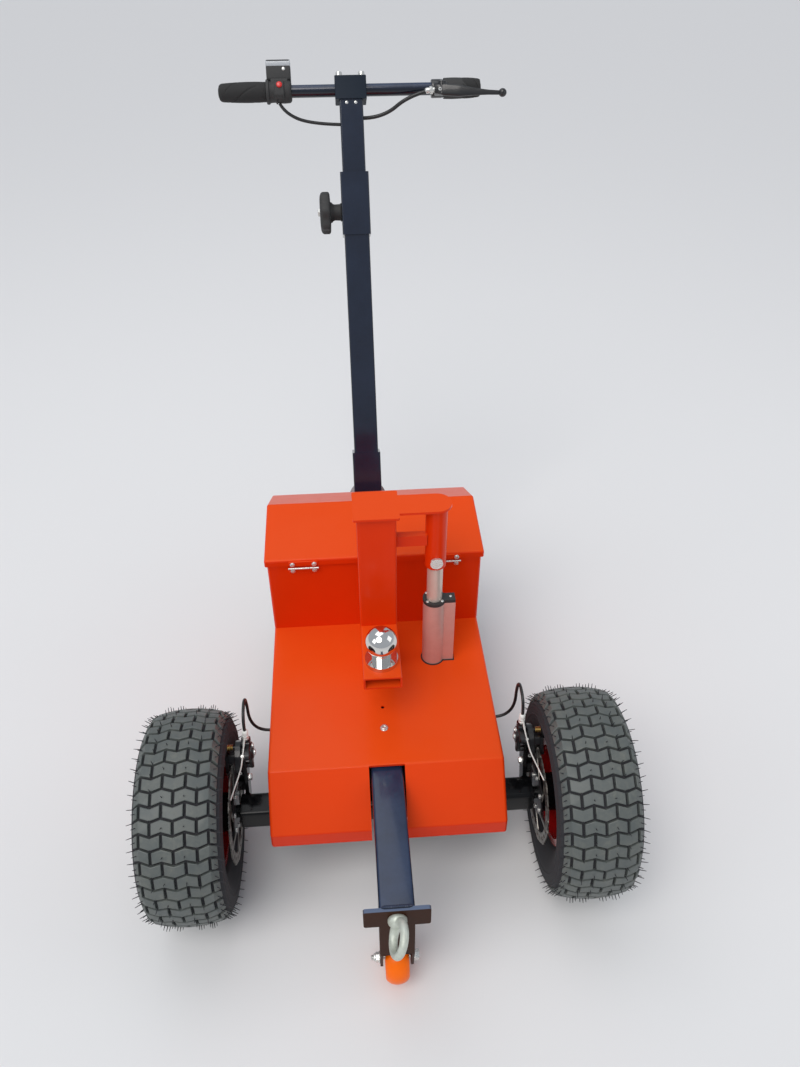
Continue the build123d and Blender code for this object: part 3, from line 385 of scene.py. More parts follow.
def coat_film():
    """Sprayed coat: slow change of tone, painted top light on the faces that look up, orange peel, thin dust that also
    carries painted sky reflection on the black finishes, scuffs.
    """
    tones = {label: GREY for label in ("Colour", "Second Tone", "Top Light Tone", "Dust And Sheen Colour")}
    film = Film("coat_film", {**tones, "Peel Scale": 420.0, "Gloss Roughness": 0.3, "Dust": 0.1})
    given = film.given
    cloud = film.ranged(film.noise(5.0, 4.0, 0.6), 0.3, 0.7)
    grain, peel = film.noise(900.0, 2.0), film.noise(given["Peel Scale"], 2.0, 0.4)
    tone = film.blended(cloud, given["Colour"], given["Second Tone"])
    # Faces that look up take the top light tone: painted light from above, lighter on the orange and blue-grey sky
    # reflection on the black
    tone = film.blended(film.times(film.facing_up(), 0.9), tone, given["Top Light Tone"])
    speck = film.ranged(film.noise(260.0, 4.0, 0.7), 0.62, 0.78)
    # Patches on up faces in the dust colour: real dust on most finishes, painted sky reflection on the black ones whose
    # dust colour is blue-grey
    dust_and_sheen_cloud = film.ranged(film.noise(11.0, 6.0, 0.65), 0.35, 0.75)
    dust = film.times(film.times(dust_and_sheen_cloud, film.facing_up()), given["Dust"])
    dust = film.plus(dust, film.times(speck, film.times(given["Dust"], 0.35)))
    rubbed = film.ranged(film.noise(38.0, 5.0, 0.7, 0.6), 0.45, 0.8, 0.0, 0.05)
    rough = film.plus(given["Gloss Roughness"], film.plus(rubbed, film.times(dust, 0.5)))
    height = film.plus(peel, film.times(grain, 0.12))
    return film.give(film.blended(dust, tone, given["Dust And Sheen Colour"]), rough, height)


def metal_grain():
    """Worked metal: tone and roughness vary in grain drawn out along one axis, with faint stains."""
    tones = {"Colour": GREY, "Stain Colour": GREY, "Grain Stretch": (400.0, 400.0, 400.0)}
    film = Film("metal_grain", {**tones, "Low Roughness": 0.2, "High Roughness": 0.4, "Stain": 0.3})
    given = film.given
    drawn_out = film.add("Mapping", "Vector", {"Vector": given["Position"], "Scale": given["Grain Stretch"]})
    grain = film.noise(1.0, 4.0, 0.6, where=drawn_out)
    stain = film.times(film.ranged(film.noise(45.0, 6.0, 0.7), 0.42, 0.72), given["Stain"])
    colour = film.blended(stain, given["Colour"], given["Stain Colour"])
    rough = film.ranged(grain, 0.3, 0.7, given["Low Roughness"], given["High Roughness"])
    return film.give(colour, film.plus(rough, film.times(stain, 0.2)), grain)


def rubber_skin():
    """Moulded rubber or plastic: fine pebble and slow patches of a worn, paler tone, which on the turf blocks is partly
    painted sheen.
    """
    tones = {"Colour": GREY, "Worn Colour": GREY}
    film = Film("rubber_skin", {**tones, "Pebble Scale": 700.0, "Base Roughness": 0.6, "Dust": 0.3})
    given = film.given
    pebble = film.noise(given["Pebble Scale"], 3.0, 0.6)
    cloud = film.ranged(film.noise(28.0, 6.0, 0.65), 0.35, 0.72)
    fine = film.ranged(film.noise(190.0, 4.0, 0.7), 0.4, 0.75)
    share = film.times(film.times(cloud, film.plus(fine, 0.35)), given["Dust"])
    colour = film.blended(share, given["Colour"], given["Worn Colour"])
    return film.give(colour, film.plus(given["Base Roughness"], film.times(fine, 0.14)), pebble)


def finish_from(name, maker, values, bump, depth, metallic=0.0, coat=0.0, coat_rough=0.1, level=0.5):
    """Material fed by a shared group, whose values stand in the order of the group's sockets."""
    known = bpy.data.materials.get(name)
    if known:
        return known
    material = bpy.data.materials.new(name)
    material.use_nodes = True
    nodes = material.node_tree.nodes
    shader = nodes["Principled BSDF"]
    place, group, relief = (nodes.new("ShaderNode" + kind) for kind in ("TexCoord", "Group", "Bump"))
    group.node_tree = bpy.data.node_groups.get(maker.__name__) or maker()
    for socket, value in zip(group.inputs[1:], values):
        socket.default_value = linear(value) if socket.type == "RGBA" else value
    relief.inputs["Strength"].default_value = bump
    relief.inputs["Distance"].default_value = depth * MM
    for label, value in (
        ("Metallic", metallic),
        ("Coat Weight", coat),
        ("Coat Roughness", coat_rough),
        ("Specular IOR Level", level),
    ):
        shader.inputs[label].default_value = value
    for source, output, target, socket in (
        (place, "Object", group, "Position"),
        (group, "Height", relief, "Height"),
        (relief, "Normal", shader, "Normal"),
        (group, "Colour", shader, "Base Color"),
        (group, "Roughness", shader, "Roughness"),
    ):
        material.node_tree.links.new(source.outputs[output], target.inputs[socket])
    material.diffuse_color = linear(values[0])
    return material


def paint(name, colour, second, rough, dust, coat, dust_and_sheen_colour, level=0.5, peel=420.0, bump=0.12, upper=None):
    """Sprayed finish in two near tones, with a third for the faces that look up as painted top light."""
    values = (colour, second, upper or colour, dust_and_sheen_colour, peel, rough, dust)
    return finish_from(name, coat_film, values, bump, 0.6, coat=coat, coat_rough=0.08, level=level)


def orange_coat():
    """Vivid powder coat whose second tone and upper tone are shares of its own colour; the lighter, yellower upper tone
    is painted top light.
    """
    colour = np.array(bpy.context.scene.dolly_colours.cover_orange)
    second = (*(colour * (0.94, 0.85, 0.8)), 1.0)
    upper = (*np.minimum(colour * (0.97, 1.8, 3.0), 1.0), 1.0)
    return paint(
        "orange_powder_coat", "cover_orange", second, 0.28, 0.04, 0.05, (236, 120, 66), 0.13, upper=upper
    )


def worked(name, colour, stain, stretch, low, high, share, metallic=1.0, bump=0.05):
    """Metal finish with drawn, rolled or cast grain."""
    stretch = stretch if isinstance(stretch, tuple) else (stretch, stretch, stretch)
    return finish_from(name, metal_grain, (colour, stain, stretch, low, high, share), bump, 0.4, metallic)


def moulded(name, colour, worn, pebble, rough, dust, bump=0.15, coat=0.0, level=0.5):
    """Rubber or plastic finish."""
    values = (colour, worn, pebble, rough, dust)
    return finish_from(name, rubber_skin, values, bump, 0.5, coat=coat, coat_rough=0.2, level=level)


# Each finish: its slot, its maker and the maker's values, with colours as screen values or a setting's name
BLACK, PLASTIC = "black_paint", "black_plastic"
FINISHES = {
    "orange": ("orange_paint", orange_coat),
    # Frame black enamel: its blue-grey upper tone and dust colour are painted sky reflection on the faces that look up
    "black": (
        BLACK, paint, "black_enamel", "frame_black", (20, 25, 37), 0.15, 0.3, 0.35, (70, 92, 130), 0.36, 300, 0.1,
        (28, 41, 66),
    ),
    # Axle enamel: its faint blue-grey dust colour is painted sky reflection on the top
    "axle": (BLACK, paint, "axle_enamel", (8, 8, 9), (12, 11, 11), 0.16, 0.06, 0.2, (44, 50, 62), 0.12, 300, 0.1),
    # Nose enamel for the tongue plate and fork: its brown tones are painted ground reflection on black paint, and its
    # blue-grey upper tone and dust colour are painted sky reflection
    "nose": (
        BLACK, paint, "nose_enamel", (60, 29, 12), (50, 25, 11), 0.42, 0.3, 0, (110, 124, 150), 0.1, 420, 0.12,
        (94, 108, 132),
    ),
    # Satin black: its blue-grey dust colour is painted sky reflection on the faces that look up
    "satin": (BLACK, paint, "satin_black", (34, 42, 52), (29, 36, 46), 0.5, 0.2, 0, (70, 80, 96), 0.12),
    "cast_black": (
        BLACK, paint, "caliper_black", (16, 16, 18), (28, 28, 31), 0.3, 0.03, 0.3, (120, 118, 114), 0.5, 520, 0.2
    ),
    "red": ("red_paint", paint, "rim_enamel", "rim_red", (128, 12, 12), 0.22, 0.03, 0.5, (150, 90, 80)),
    "zinc": ("zinc", worked, "bright_zinc", (222, 222, 218), (160, 157, 150), 300, 0.16, 0.34, 0.35, 0.72),
    "galvanised": ("zinc", worked, "galvanised_eye", (203, 209, 198), (146, 148, 132), 120, 0.36, 0.6, 0.6, 0.4, 0.3),
    "steel_wire": (
        "zinc", worked, "wire_steel", (228, 226, 220), (170, 166, 160), (200, 200, 1500), 0.25, 0.4, 0.3, 0.3, 0.3
    ),
    "brass": ("zinc", worked, "spring_brass", (206, 168, 96), (140, 108, 60), 300, 0.2, 0.36, 0.3),
    "chrome": ("chrome", worked, "ball_chrome", (226, 224, 220), (176, 172, 164), 60, 0.03, 0.08, 0.12, 1.0, 0.0),
    # Anodised tube: its pink tint is partly painted reflection of the orange coat
    "anodised": (
        "anodised", worked, "anodised_tube", (214, 176, 166), (196, 150, 140), (900, 900, 14), 0.34, 0.5, 0.35, 0.35,
        0.06,
    ),
    "rod": ("anodised", worked, "rod_aluminium", (222, 206, 194), (206, 186, 172), (900, 900, 14), 0.3, 0.44, 0.3, 0.4),
    "disc": ("disc_steel", worked, "brake_steel", (150, 146, 140), (84, 78, 70), 240, 0.22, 0.38, 0.6),
    "iron": ("gearbox_iron", worked, "gearbox_cast", (92, 94, 98), (62, 62, 64), 260, 0.45, 0.62, 0.5, 0.6, 0.35),
    "tyre": ("tyre_rubber", moulded, "tyre_rubber", (31, 26, 23), (62, 52, 43), 620, 0.55, 0.4, 0.16),
    # Turf blocks: grey-green and paler than the tyre's carcass, partly wear and partly painted sheen on the block tops
    "turf": ("tyre_rubber", moulded, "turf_rubber", (82, 88, 87), (116, 117, 108), 620, 0.45, 0.6, 0.25),
    "grip": ("grip_rubber", moulded, "grip_rubber", (34, 34, 37), (64, 63, 62), 900, 0.5, 0.4, 0.3),
    "roller": (
        "roller_plastic", moulded, "roller_urethane", (255, 112, 3), (244, 98, 4), 300, 0.3, 0.5, 0.1, 0.1, 0.16
    ),
    "tread": ("caster_tread", moulded, "caster_tread", (58, 58, 60), (104, 100, 94), 500, 0.5, 0.5, 0.2),
    "battery": ("battery_case", moulded, "battery_case", (38, 40, 44), (64, 64, 66), 700, 0.45, 0.3, 0.2),
    "plastic": (PLASTIC, moulded, "black_plastic", (20, 20, 23), (40, 40, 43), 1100, 0.34, 0.25, 0.12, 0.15),
    "cable": (PLASTIC, moulded, "cable_jacket", (18, 18, 20), (44, 42, 40), 800, 0.38, 0.25, 0.08, 0.1),
    "ferrule": (PLASTIC, moulded, "ferrule_nylon", (236, 235, 230), (198, 196, 188), 500, 0.4, 0.3, 0.05, 0.1),
    "button": (PLASTIC, moulded, "button_red", (206, 26, 20), (176, 20, 18), 500, 0.25, 0.2, 0.05, 0.4),
    "pale": (PLASTIC, moulded, "gauge_window", (168, 172, 176), (140, 144, 150), 400, 0.2, 0.3, 0.05, 0.6),
}
PACKED_PIECES = {
    "orange": "deck_cover battery_box box_lid guide_post lift_post lift_cap",
    "black": "chassis_frame tongue mast_socket lower_mast upper_mast caster_plate handlebar",
    "axle": "hub_left hub_right",
    "nose": "tongue_plate nose_fork",
    "red": "rim_left rim_right",
    "zinc": "clevis_pin caster_fork",
    "pale": "mast_disc",
    "chrome": "tow_ball",
    "anodised": "actuator_body",
    "rod": "actuator_rod",
    "iron": "drive_unit",
    "plastic": "actuator_flange",
    "tread": "caster_wheel",
    "battery": "battery_block",
}


def material_of(finish):
    """Material of a finish, built the first time it is asked for."""
    _, maker, *values = FINISHES[finish]
    return maker(*values)


# Tyres


TYRE_RADIUS, KINK = 163.0, 16.5


def tyre_line(reach):
    """Outside line of half the tyre at a reach along it: how far across and out, and its normal's parts.

    The crown's circle passes through middle and shoulder; the side's is upright at the widest place.
    """
    crown_radius, crown_out, shoulder = 186.25, -23.25, 54.0
    side_radius, side_across, side_out = 54.23, 8.77, 125.08
    crown = np.linspace(0, np.arcsin(shoulder / crown_radius), 60)
    side = np.linspace(radians(33.49), -radians(14), 60)[1:]
    x = np.concatenate((crown_radius * np.sin(crown), side_across + side_radius * np.cos(side)))
    r = np.concatenate((crown_out + crown_radius * np.cos(crown), side_out + side_radius * np.sin(side)))
    gone = np.concatenate(((0,), np.cumsum(np.hypot(np.diff(x), np.diff(r)))))
    even = np.linspace(0, gone[-1], 240)
    window = np.hanning(15) / np.hanning(15).sum()
    smooth = []
    for line, mirror in ((x, -1), (r, 1)):
        line = np.interp(even, gone, line)
        line = np.concatenate((mirror * line[7:0:-1], line, 2 * line[-1] - line[-2:-9:-1]))
        smooth.append(np.convolve(line, window, "valid"))
    slopes = [np.gradient(line, even) for line in smooth]
    across, out, over, down = (np.interp(np.abs(reach), even, line) for line in smooth + slopes)
    return np.sign(reach) * across, out, -np.sign(reach) * down, over


def zigzag(reach):
    """Triangle wave across the tyre: 1 at the middle and at every second kink, -1 at the kinks between."""
    return 4 * np.abs(reach / (2 * KINK) % 1 - 0.5) - 1


def tread_blocks(wheel_x, own):
    """Turf blocks: each a grid of 6 by 7 points whose outer ring is sunk and whose top has a small bevel."""
    rows, high = own.tread_rows, own.tread_high
    long = 2 * pi * TYRE_RADIUS / rows * own.tread_share
    across_steps = np.array((0.0, 0.025, 0.06, 0.5, 0.94, 0.975, 1.0))
    along_steps = np.array((0.0, 0.04, 0.1, 0.9, 0.96, 1.0)) - 0.5
    depth_across = np.array((-1.0, -0.22, 0.0, 0.0, 0.0, -0.22, -1.0))
    depth_along = np.array((-1.0, -0.22, 0.0, 0.0, -0.22, -1.0))
    fall = np.minimum(depth_across[None, :], depth_along[:, None]) * (high + 1.5)
    fall = np.where(fall > -0.5 * high, fall * 0.35, fall)
    even = ((-14.9, 14.9), (-48.0, -18.1), (18.1, 48.0), (-64.5, -51.4), (51.4, 64.5))
    odd = ((1.6, 31.4), (34.7, 66.0), (-31.4, -1.6), (-66.0, -34.7))
    shells = []
    for first, spans in enumerate((even, odd)):
        row = np.arange(first, rows, 2)
        for left, right in spans:
            reach = left + (right - left) * across_steps
            # The middle line lies on a kink of the zigzag, apart from the narrow outermost blocks
            if abs(reach[3]) < 55:
                reach[3] = KINK * np.round(reach[3] / KINK)
            reach = np.broadcast_to(reach, (6, 7))
            arc = long * along_steps[:, None] - own.tread_wave * zigzag(reach)
            x, r, nx, nr = tyre_line(reach)
            turn = row[:, None, None] * 2 * pi / rows + arc[None] / TYRE_RADIUS
            out = (r + nr * fall)[None] * MM
            across = wheel_x + (x + nx * fall)[None] * MM + 0 * turn
            points = np.stack((across, AXLE[1] - out * np.cos(turn), AXLE[2] + out * np.sin(turn)), axis=-1)
            shells.extend(sealed_patch(grid) for grid in points)
    return shells


def sealed_patch(grid):
    """Open grid of points with its border shut underneath by one face, turned outwards from the axle."""
    rows, columns = grid.shape[:2]
    points = grid.reshape(-1, 3)
    quads = cells(rows, columns, False, False)
    number = np.arange(rows * columns).reshape(rows, columns)
    border = np.concatenate((number[0], number[1:-1, -1], number[-1, ::-1], number[1:-1, 0][::-1]))
    mid = quads[len(quads) // 2]
    a, b, c = points[mid[:3]]
    away = (points[mid].mean(axis=0) - AXLE) * (0, 1, 1)
    way = 1 if np.dot(np.cross(b - a, c - a), away) > 0 else -1
    return points, quads[:, ::way].tolist() + [border[::-way].tolist()]


def carcass(wheel_x, block_high):
    """Tyre body: the outside line less the tread's depth, low ribs round the side, then bead and liner."""
    reach = np.concatenate((np.linspace(-96, -56, 34), np.linspace(-54, 54, 19), np.linspace(56, 96, 34)))
    x, r, nx, nr = tyre_line(reach)
    place = np.abs(reach)
    depth = block_high * np.clip((70 - place) / 8, 0, 1) ** 0.8
    for centre, high, half in ((72.0, 0.7, 1.2), (76.5, 0.5, 0.9), (88.0, 0.9, 1.6)):
        depth = depth - high * np.clip(1 - ((place - centre) / half) ** 2, 0, 1)
    outside = np.column_stack((x - nx * depth, r - nr * depth))
    bead = ((-52, 92), (-46.6, 87.5), (-42.4, 86.5), (-42.2, 76.2), (-33.5, 76.2), (-33.5, 90))
    inside = np.array(bead + ((-52, 107.7), (-54, 125), (-45, 146), (-20, 149)))
    line = np.vstack((outside, inside * (-1, 1), inside[::-1]))
    return spun(line, AXLE + wheel_x * ACROSS, ACROSS, 168, loop=True)


def moulding_nibs(wheel_x, rows, long):
    """Thin rubber hairs from the mould's vents: tapered tubes in four lines a half, none under the tyre."""
    shells = []
    steps = np.array(((-2.0, 0.75), (0.0, 0.75), (0.35, 0.65), (0.8, 0.5), (1.0, 0.3)))
    turn = even_turn(rows)
    for side in (-1, 1):
        for place, share, shift in ((62.5, 1.0, 0.35), (57.0, 0.5, 0.0), (33.0, 0.75, 0.5), (15.5, 0.6, 0.0)):
            x, r, nx, nr = tyre_line(np.array(side * place))
            profile = steps * (long * share, 1.0)
            profile[0, 0] = -2.0
            for angle, tilt in zip(turn + shift * 2 * pi / rows, 0.25 * np.sin(turn * 7 + side)):
                radial = sin(angle) * UP - cos(angle) * BACK
                direction = unit(nx * ACROSS + nr * radial + tilt * (sin(angle) * BACK + cos(angle) * UP))
                foot = AXLE + wheel_x * ACROSS + MM * (x * ACROSS + r * radial)
                if foot[2] + direction[2] * long * share * MM >= 0.5 * MM:
                    shells.append(spun(profile, foot, direction, 5))
    return shells


# Wheels, discs and calipers


def spoke(turn):
    """Direction square to the axle at an angle from the rear."""
    return cos(turn) * BACK + sin(turn) * UP


def ring_sector(mid_turn, half_turn, inner, outer, hole, thick):
    """Part of the disc's ring with a round hole: rays from it meet the sector's border, on both faces."""
    turn = even_turn(24) + pi / 24
    reach = 1 / np.maximum(np.abs(np.cos(turn)), np.abs(np.sin(turn)))
    angle, v = mid_turn + reach * np.cos(turn) * half_turn, reach * np.sin(turn)
    mid = (inner + outer) / 2
    wave = 0.9 * np.cos(12 * angle) * np.maximum(v, 0)
    border = (mid + v * (outer - inner) / 2 + wave)[:, None] * np.column_stack((np.cos(angle), np.sin(angle)))
    out, over = np.array(((cos(mid_turn), sin(mid_turn)), (-sin(mid_turn), cos(mid_turn))))
    rim = mid * out + hole * (np.sin(turn)[:, None] * out + np.cos(turn)[:, None] * over)
    soft = rim + 0.12 * (border - rim)
    face, edge = thick / 2, thick / 2 - 0.25
    return (face, border), (face, soft), (edge, rim), (-edge, rim), (-face, soft), (-face, border)


def brake_rotor(side, tag):
    """Wavy drilled rotor: ring sectors with holes, curved spokes to a black carrier, six screws."""
    centre = AXLE + side * DISC_X * ACROSS
    holes = 24
    sectors = [ring_sector(turn, pi / holes, 62.0, 79.0, 3.2, 2.0) for turn in even_turn(holes)]
    steel = [stacked(rings, centre, ACROSS, BACK, UP, loop=True) for rings in sectors]
    # Curved spokes: the path turns as it goes out, so each sweeps forward like a scythe
    t = np.linspace(0, 1, 14)
    for start in even_turn(6):
        turn = (start + 0.55 * (1 - t) ** 1.5)[:, None]
        path = centre + MM * (26 + t * 38)[:, None] * (np.cos(turn) * BACK + np.sin(turn) * UP)
        steel.append(carried(path, rounded(2.0, 9.0, 0.6, 3)[:, ::-1], ACROSS, 1.25 - 0.5 * np.sin(pi * t)))
    make("rotor_" + tag, "wheel_" + tag, steel, "disc", ("brake_disc_" + tag,))
    plate = ((-1.6, 10.3), (-1.6, 33.0), (-0.9, 34.0), (0.9, 34.0), (1.6, 33.0), (1.6, 10.3))
    make("disc_carrier_" + tag, "wheel_" + tag, [spun(plate, centre, ACROSS, loop=True)], "cast_black")
    inward = -side * ACROSS
    places = [centre + MM * (28.5 * spoke(turn + 0.3) + 1.5 * inward) for turn in even_turn(6)]
    screws = [socket_screw(place, inward, 3.6, 2.4) for place in places]
    make("disc_screws_" + tag, "wheel_" + tag, screws, "zinc")


def caliper(side, tag):
    """Cable-pulled caliper over the disc's top front edge: lobed body, jaws both sides, short barrel."""
    origin, inward = AXLE + side * DISC_X * ACROSS, -side * ACROSS
    out, along = spoke(radians(53.5)), spoke(radians(143.5))
    body = (66, -17), (78, -20), (96, -21), (110, -13), (111, 2), (104, 14), (92, 20), (78, 19), (66, 16)
    lumps = (
        (body, 3.4, (4, 15, 1.4)),
        (((84, -20), (96, -21), (107, -14), (108, 3), (99, 13), (86, 13), (80, -2)), 3.2, (13.5, 20, 1.6)),
        (((80.5, -18), (95, -18), (95, 18), (80.5, 18)), 3, (-5, 5, 0.8)),
        (((64.5, -17), (78, -18), (94, -17), (94, 17), (78, 18), (64.5, 17)), 4, (-9.8, -4.2, 1.2)),
    )
    shells = [
        prism(softened(line, radius), chamfered(*steps), origin, inward, out, along)
        for line, radius, steps in lumps
    ]
    barrel = ((19, 8.8), (24.0, 8.8), (24.6, 8.2), (24.6, 6.0), (26.5, 5.4), (26.5, 0.4))
    shells.append(spun(barrel, origin + MM * (96 * out - 4 * along), inward, 32))
    make("caliper_body_" + tag, "frame", shells, "cast_black", ("caliper_" + tag,))


def caliper_fittings(side, tag):
    """Bracket from the axle, pull arm, clamp bolt, adjuster, spring, and the bare wire with its tail."""
    origin, inward = AXLE + side * DISC_X * ACROSS, -side * ACROSS

    def at(x, y, z):
        """Point at x inboard of the disc, y behind the axle and z above it, in millimetres."""
        return origin + MM * (x * inward + y * BACK + z * UP)

    def plate(corners, radius, *steps):
        """Chamfered plate square to the axle."""
        return prism(softened(corners, radius), chamfered(*steps), origin, inward, BACK, UP)

    foot = (
        (19.6, 19), (19.6, -19), (33, -19), (40, -4), (50, 22),
        (67, 54), (66, 64), (42, 82), (34, 80), (30, 52),
    )
    adapter = ((34, 4), (52, 2), (66, 36), (68, 62), (52, 78), (36, 64), (33, 36))
    bracket = [
        plate(foot, 4, 16, 22, 0.7),
        weld_bead(at(22, 20, -18), at(22, 20, 18), unit(inward + BACK)),
        weld_bead(at(16, 20, -18), at(16, 20, 18), unit(BACK - inward)),
        plate(adapter, 4, 4.6, 16.4, 0.8),
    ]
    make("caliper_bracket_" + tag, "frame", bracket, "axle")
    pull = ((44, 88), (58, 92), (70, 84), (68, 70), (58, 60), (52, 48), (43, 48), (42, 60), (44, 72))
    slant = unit(UP - 0.8 * BACK)
    arm = [
        plate(pull, 5, 25.2, 31, 1.2),
        spun(((24, 10.6), (31.5, 10.6), (33.0, 9.2), (33.0, 0.5)), at(0, 56, 74), inward, 32),
        spun(((15, 4.6), (31.0, 4.6), (31.6, 4.0), (31.6, 0.5)), at(0, 47, 54), inward, 24),
        plate(((34, 80), (60, 80), (60, 92), (34, 92)), 3.5, 16.5, 29, 1.4),
        plate(((53, 84), (70, 84), (70, 98), (53, 98)), 3, 15, 29, 1.4),
        spun(((-8.4, 1), (-8.4, 4.6), (-7.8, 5.2), (2.4, 5.2), (3, 4.6), (3, 1)), at(0, 49, 76), inward, 28),
        spun(((-7, 1.9), (12, 1.9)), at(0, 54, 90), inward, 16),
        spun(((-4, 4.8), (1.6, 4.8), (2.6, 3.8), (2.6, 0.5)), at(18.2, 37.0, 89.0), slant, 28),
    ]
    make("caliper_arm_" + tag, "frame", arm, "cast_black")
    # Cable stop: thread, ribbed barrel and ferrule, standing on the arm's upper lug
    stop = at(23, 61.86, 83.6)
    stem = ((8, 3.0), (17, 3.0), (17.6, 4.4), (18.4, 5.4), (20.4, 5.4), (20.9, 4.4), (24.0, 4.0))
    ferrule = (
        (23.4, 4), (24, 4.9), (26, 4.9), (26.5, 4.4), (29.5, 4.4), (30, 4.9), (34.6, 4.9), (36, 4), (37, 2.9)
    )
    make("cable_ferrule_" + tag, "frame", [spun(ferrule, stop, UP, 28)], "ferrule")
    bright = [
        spun(stem, stop, UP, 24),
        socket_screw(at(33.0, 56, 74), inward, 4.6, 2.6),
        socket_screw(at(29, 60, 85), inward, 4.0, 4.0),
        socket_screw(at(18.2, 35.4, 91.0), slant, 2.3, 2.2),
        washer(at(22, 35, 39), inward, 6.0, 1.4),
        hex_head(at(23.4, 35, 39), inward, 9.5, 4.5),
        socket_screw(at(10.0, 36.0, 50), unit(-BACK + 0.3 * UP), 3.4, 2.6),
    ]
    make("caliper_bolts_" + tag, "frame", bright, "zinc")
    share = np.linspace(0, 1, 110)[:, None]
    turn, radius, long = 2 * pi * 4.5 * share, 4.2, 8.0
    coil = at(-6.4, 54, 90) + MM * (long * share * inward + radius * (np.cos(turn) * BACK + np.sin(turn) * UP))
    make("caliper_spring_" + tag, "frame", [carried(coil, circle(0.75, 6), inward)], "brass")
    # Bare wire: from under the barrel forward past the arm's clamp, its tail falling to the disc's edge
    knots = (22.4, 61, 112), (20.2, 52, 99), (18.6, 38, 91.4), (17.4, 14, 89), (10.5, -10, 84), (2.6, -36, 77)
    even = np.linspace(0, len(knots) - 1, 60)
    window = np.hanning(19) / np.hanning(19).sum()
    bend = [np.pad(np.interp(even, np.arange(len(knots)), line), 9, mode="edge") for line in zip(*knots)]
    x, y, z = (np.convolve(line, window, "valid")[:, None] for line in bend)
    thick = np.interp(even, (0, 1.1, 1.3, 5), (1.5, 1.5, 1.0, 0.9))
    make("brake_wire_" + tag, "frame", [carried(at(x, y, z), circle(1.2, 8), BACK, thick)], "steel_wire")


def axle_tube():
    """Axle: square tube with round corners, its seat pad, and a spindle at each end."""
    reach, _, top = (span("axle_beam")[1] - AXLE) / MM
    tube_end = DISC_X / MM - 10
    shells = [prism(rounded(40, 40, 6.5, 7), chamfered(-tube_end, tube_end, 0.6), AXLE, ACROSS)]
    for side in (-1, 1):
        shells.append(spun(((tube_end - 5, 10), (reach - 1, 10), (reach, 9)), AXLE, side * ACROSS, 32))
    pad = softened(((-25, -20), (25, -20), (25, 20), (-25, 20)), 1, 3)
    shells.append(prism(pad, ((15, 0), (top, 0)), AXLE, UP))
    make("axle_tube", "frame", shells, "axle", ("axle_beam",))


def tongue_tube():
    """Tongue: tube with round corners from the plate to the frame, and the weld round its end."""
    low, high = span("tongue")
    wide, long, tall = (high - low) / MM
    tube = prism(rounded(wide, tall, 4.5, 7), chamfered(-long / 2, long / 2, 0.4), (low + high) / 2, BACK)
    make("tongue_tube", "frame", [tube], "black", ("tongue",))
    joint = span("tongue_plate")[1][1]
    inset, proud = 3 * MM, 0.5 * MM
    ends = (low[0] + inset, high[0] - inset), (low[2] + inset, high[2] - inset)
    beads = [
        weld_bead((ends[0][0], joint, z), (ends[0][1], joint, z), unit(BACK + way * UP))
        for way, z in ((1, high[2] + proud), (-1, low[2] - proud))
    ]
    for side, x in ((-1, low[0] - proud), (1, high[0] + proud)):
        beads.append(weld_bead((x, joint, ends[1][0]), (x, joint, ends[1][1]), unit(BACK + side * ACROSS)))
    make("tongue_welds", "frame", beads, "black")


def rim_hardware(side, tag):
    """Bolts round the rim's web, dust cap over the hub's nut, and the tyre valve."""
    centre, outward = AXLE + side * TRACK * ACROSS, side * ACROSS
    bright = []
    for turn in even_turn(5) + 0.3:
        place = centre + MM * (3 * outward + 46 * spoke(turn))
        bright.append(washer(place, outward, 9.5, 1.6))
        bright.append(hex_head(place + 1.6 * MM * outward, outward, 13, 6.5))
        bright.append(thread(place + 8.1 * MM * outward, outward, 4, 5))
    cap = (23.6, 21), (25, 22.6), (26.4, 22.6), (27.2, 19), (40, 18.2), (43, 16.4), (44.2, 12.5), (44.6, 0.6)
    bright.append(spun(cap, centre, outward, 40))
    make("rim_bolts_" + tag, "wheel_" + tag, bright, "zinc")
    out = spoke(1.9)
    foot = (-8, 6.6), (-2, 5.6), (0, 5.2), (3, 4), (15, 3.2)
    cap = (15.6, 4.4), (16.2, 4.8), (24, 4.8), (25, 4.2), (25.4, 0.6)
    valve = spun(foot + cap, centre + MM * (22 * outward + 63 * out), outward - 0.35 * out, 24)
    make("tyre_valve_" + tag, "wheel_" + tag, [valve], "grip")


# Free cables


def run_of_cable(name, body, route, radius, node):
    """Cable as one open NURBS curve over its route's points; its bare line is also read as a chain of points."""
    curve = bpy.data.curves.new(name, "CURVE")
    curve.dimensions = "3D"
    curve.bevel_depth, curve.bevel_resolution = 1.0, 4
    curve.resolution_u, curve.use_fill_caps = 16, True
    spline = curve.splines.new("NURBS")
    spline.points.add(len(route) - 1)
    for point, place in zip(spline.points, route):
        point.co, point.radius = (*place, 1.0), radius
    spline.order_u, spline.use_endpoint_u = 3, True
    spline.resolution_u = 16
    piece = place_piece(name, curve, body, "cable", (node,))
    # The same curve without its thickness, read as a chain of points
    bare = curve.copy()
    bare.bevel_depth = 0.0
    measuring = bpy.data.objects.new(name + "_line", bare)
    line = bpy.data.meshes.new_from_object(measuring)
    spots = np.empty(len(line.vertices) * 3)
    line.vertices.foreach_get("co", spots)
    bpy.data.objects.remove(measuring)
    bpy.data.curves.remove(bare)
    bpy.data.meshes.remove(line)


# Controls on the handlebar


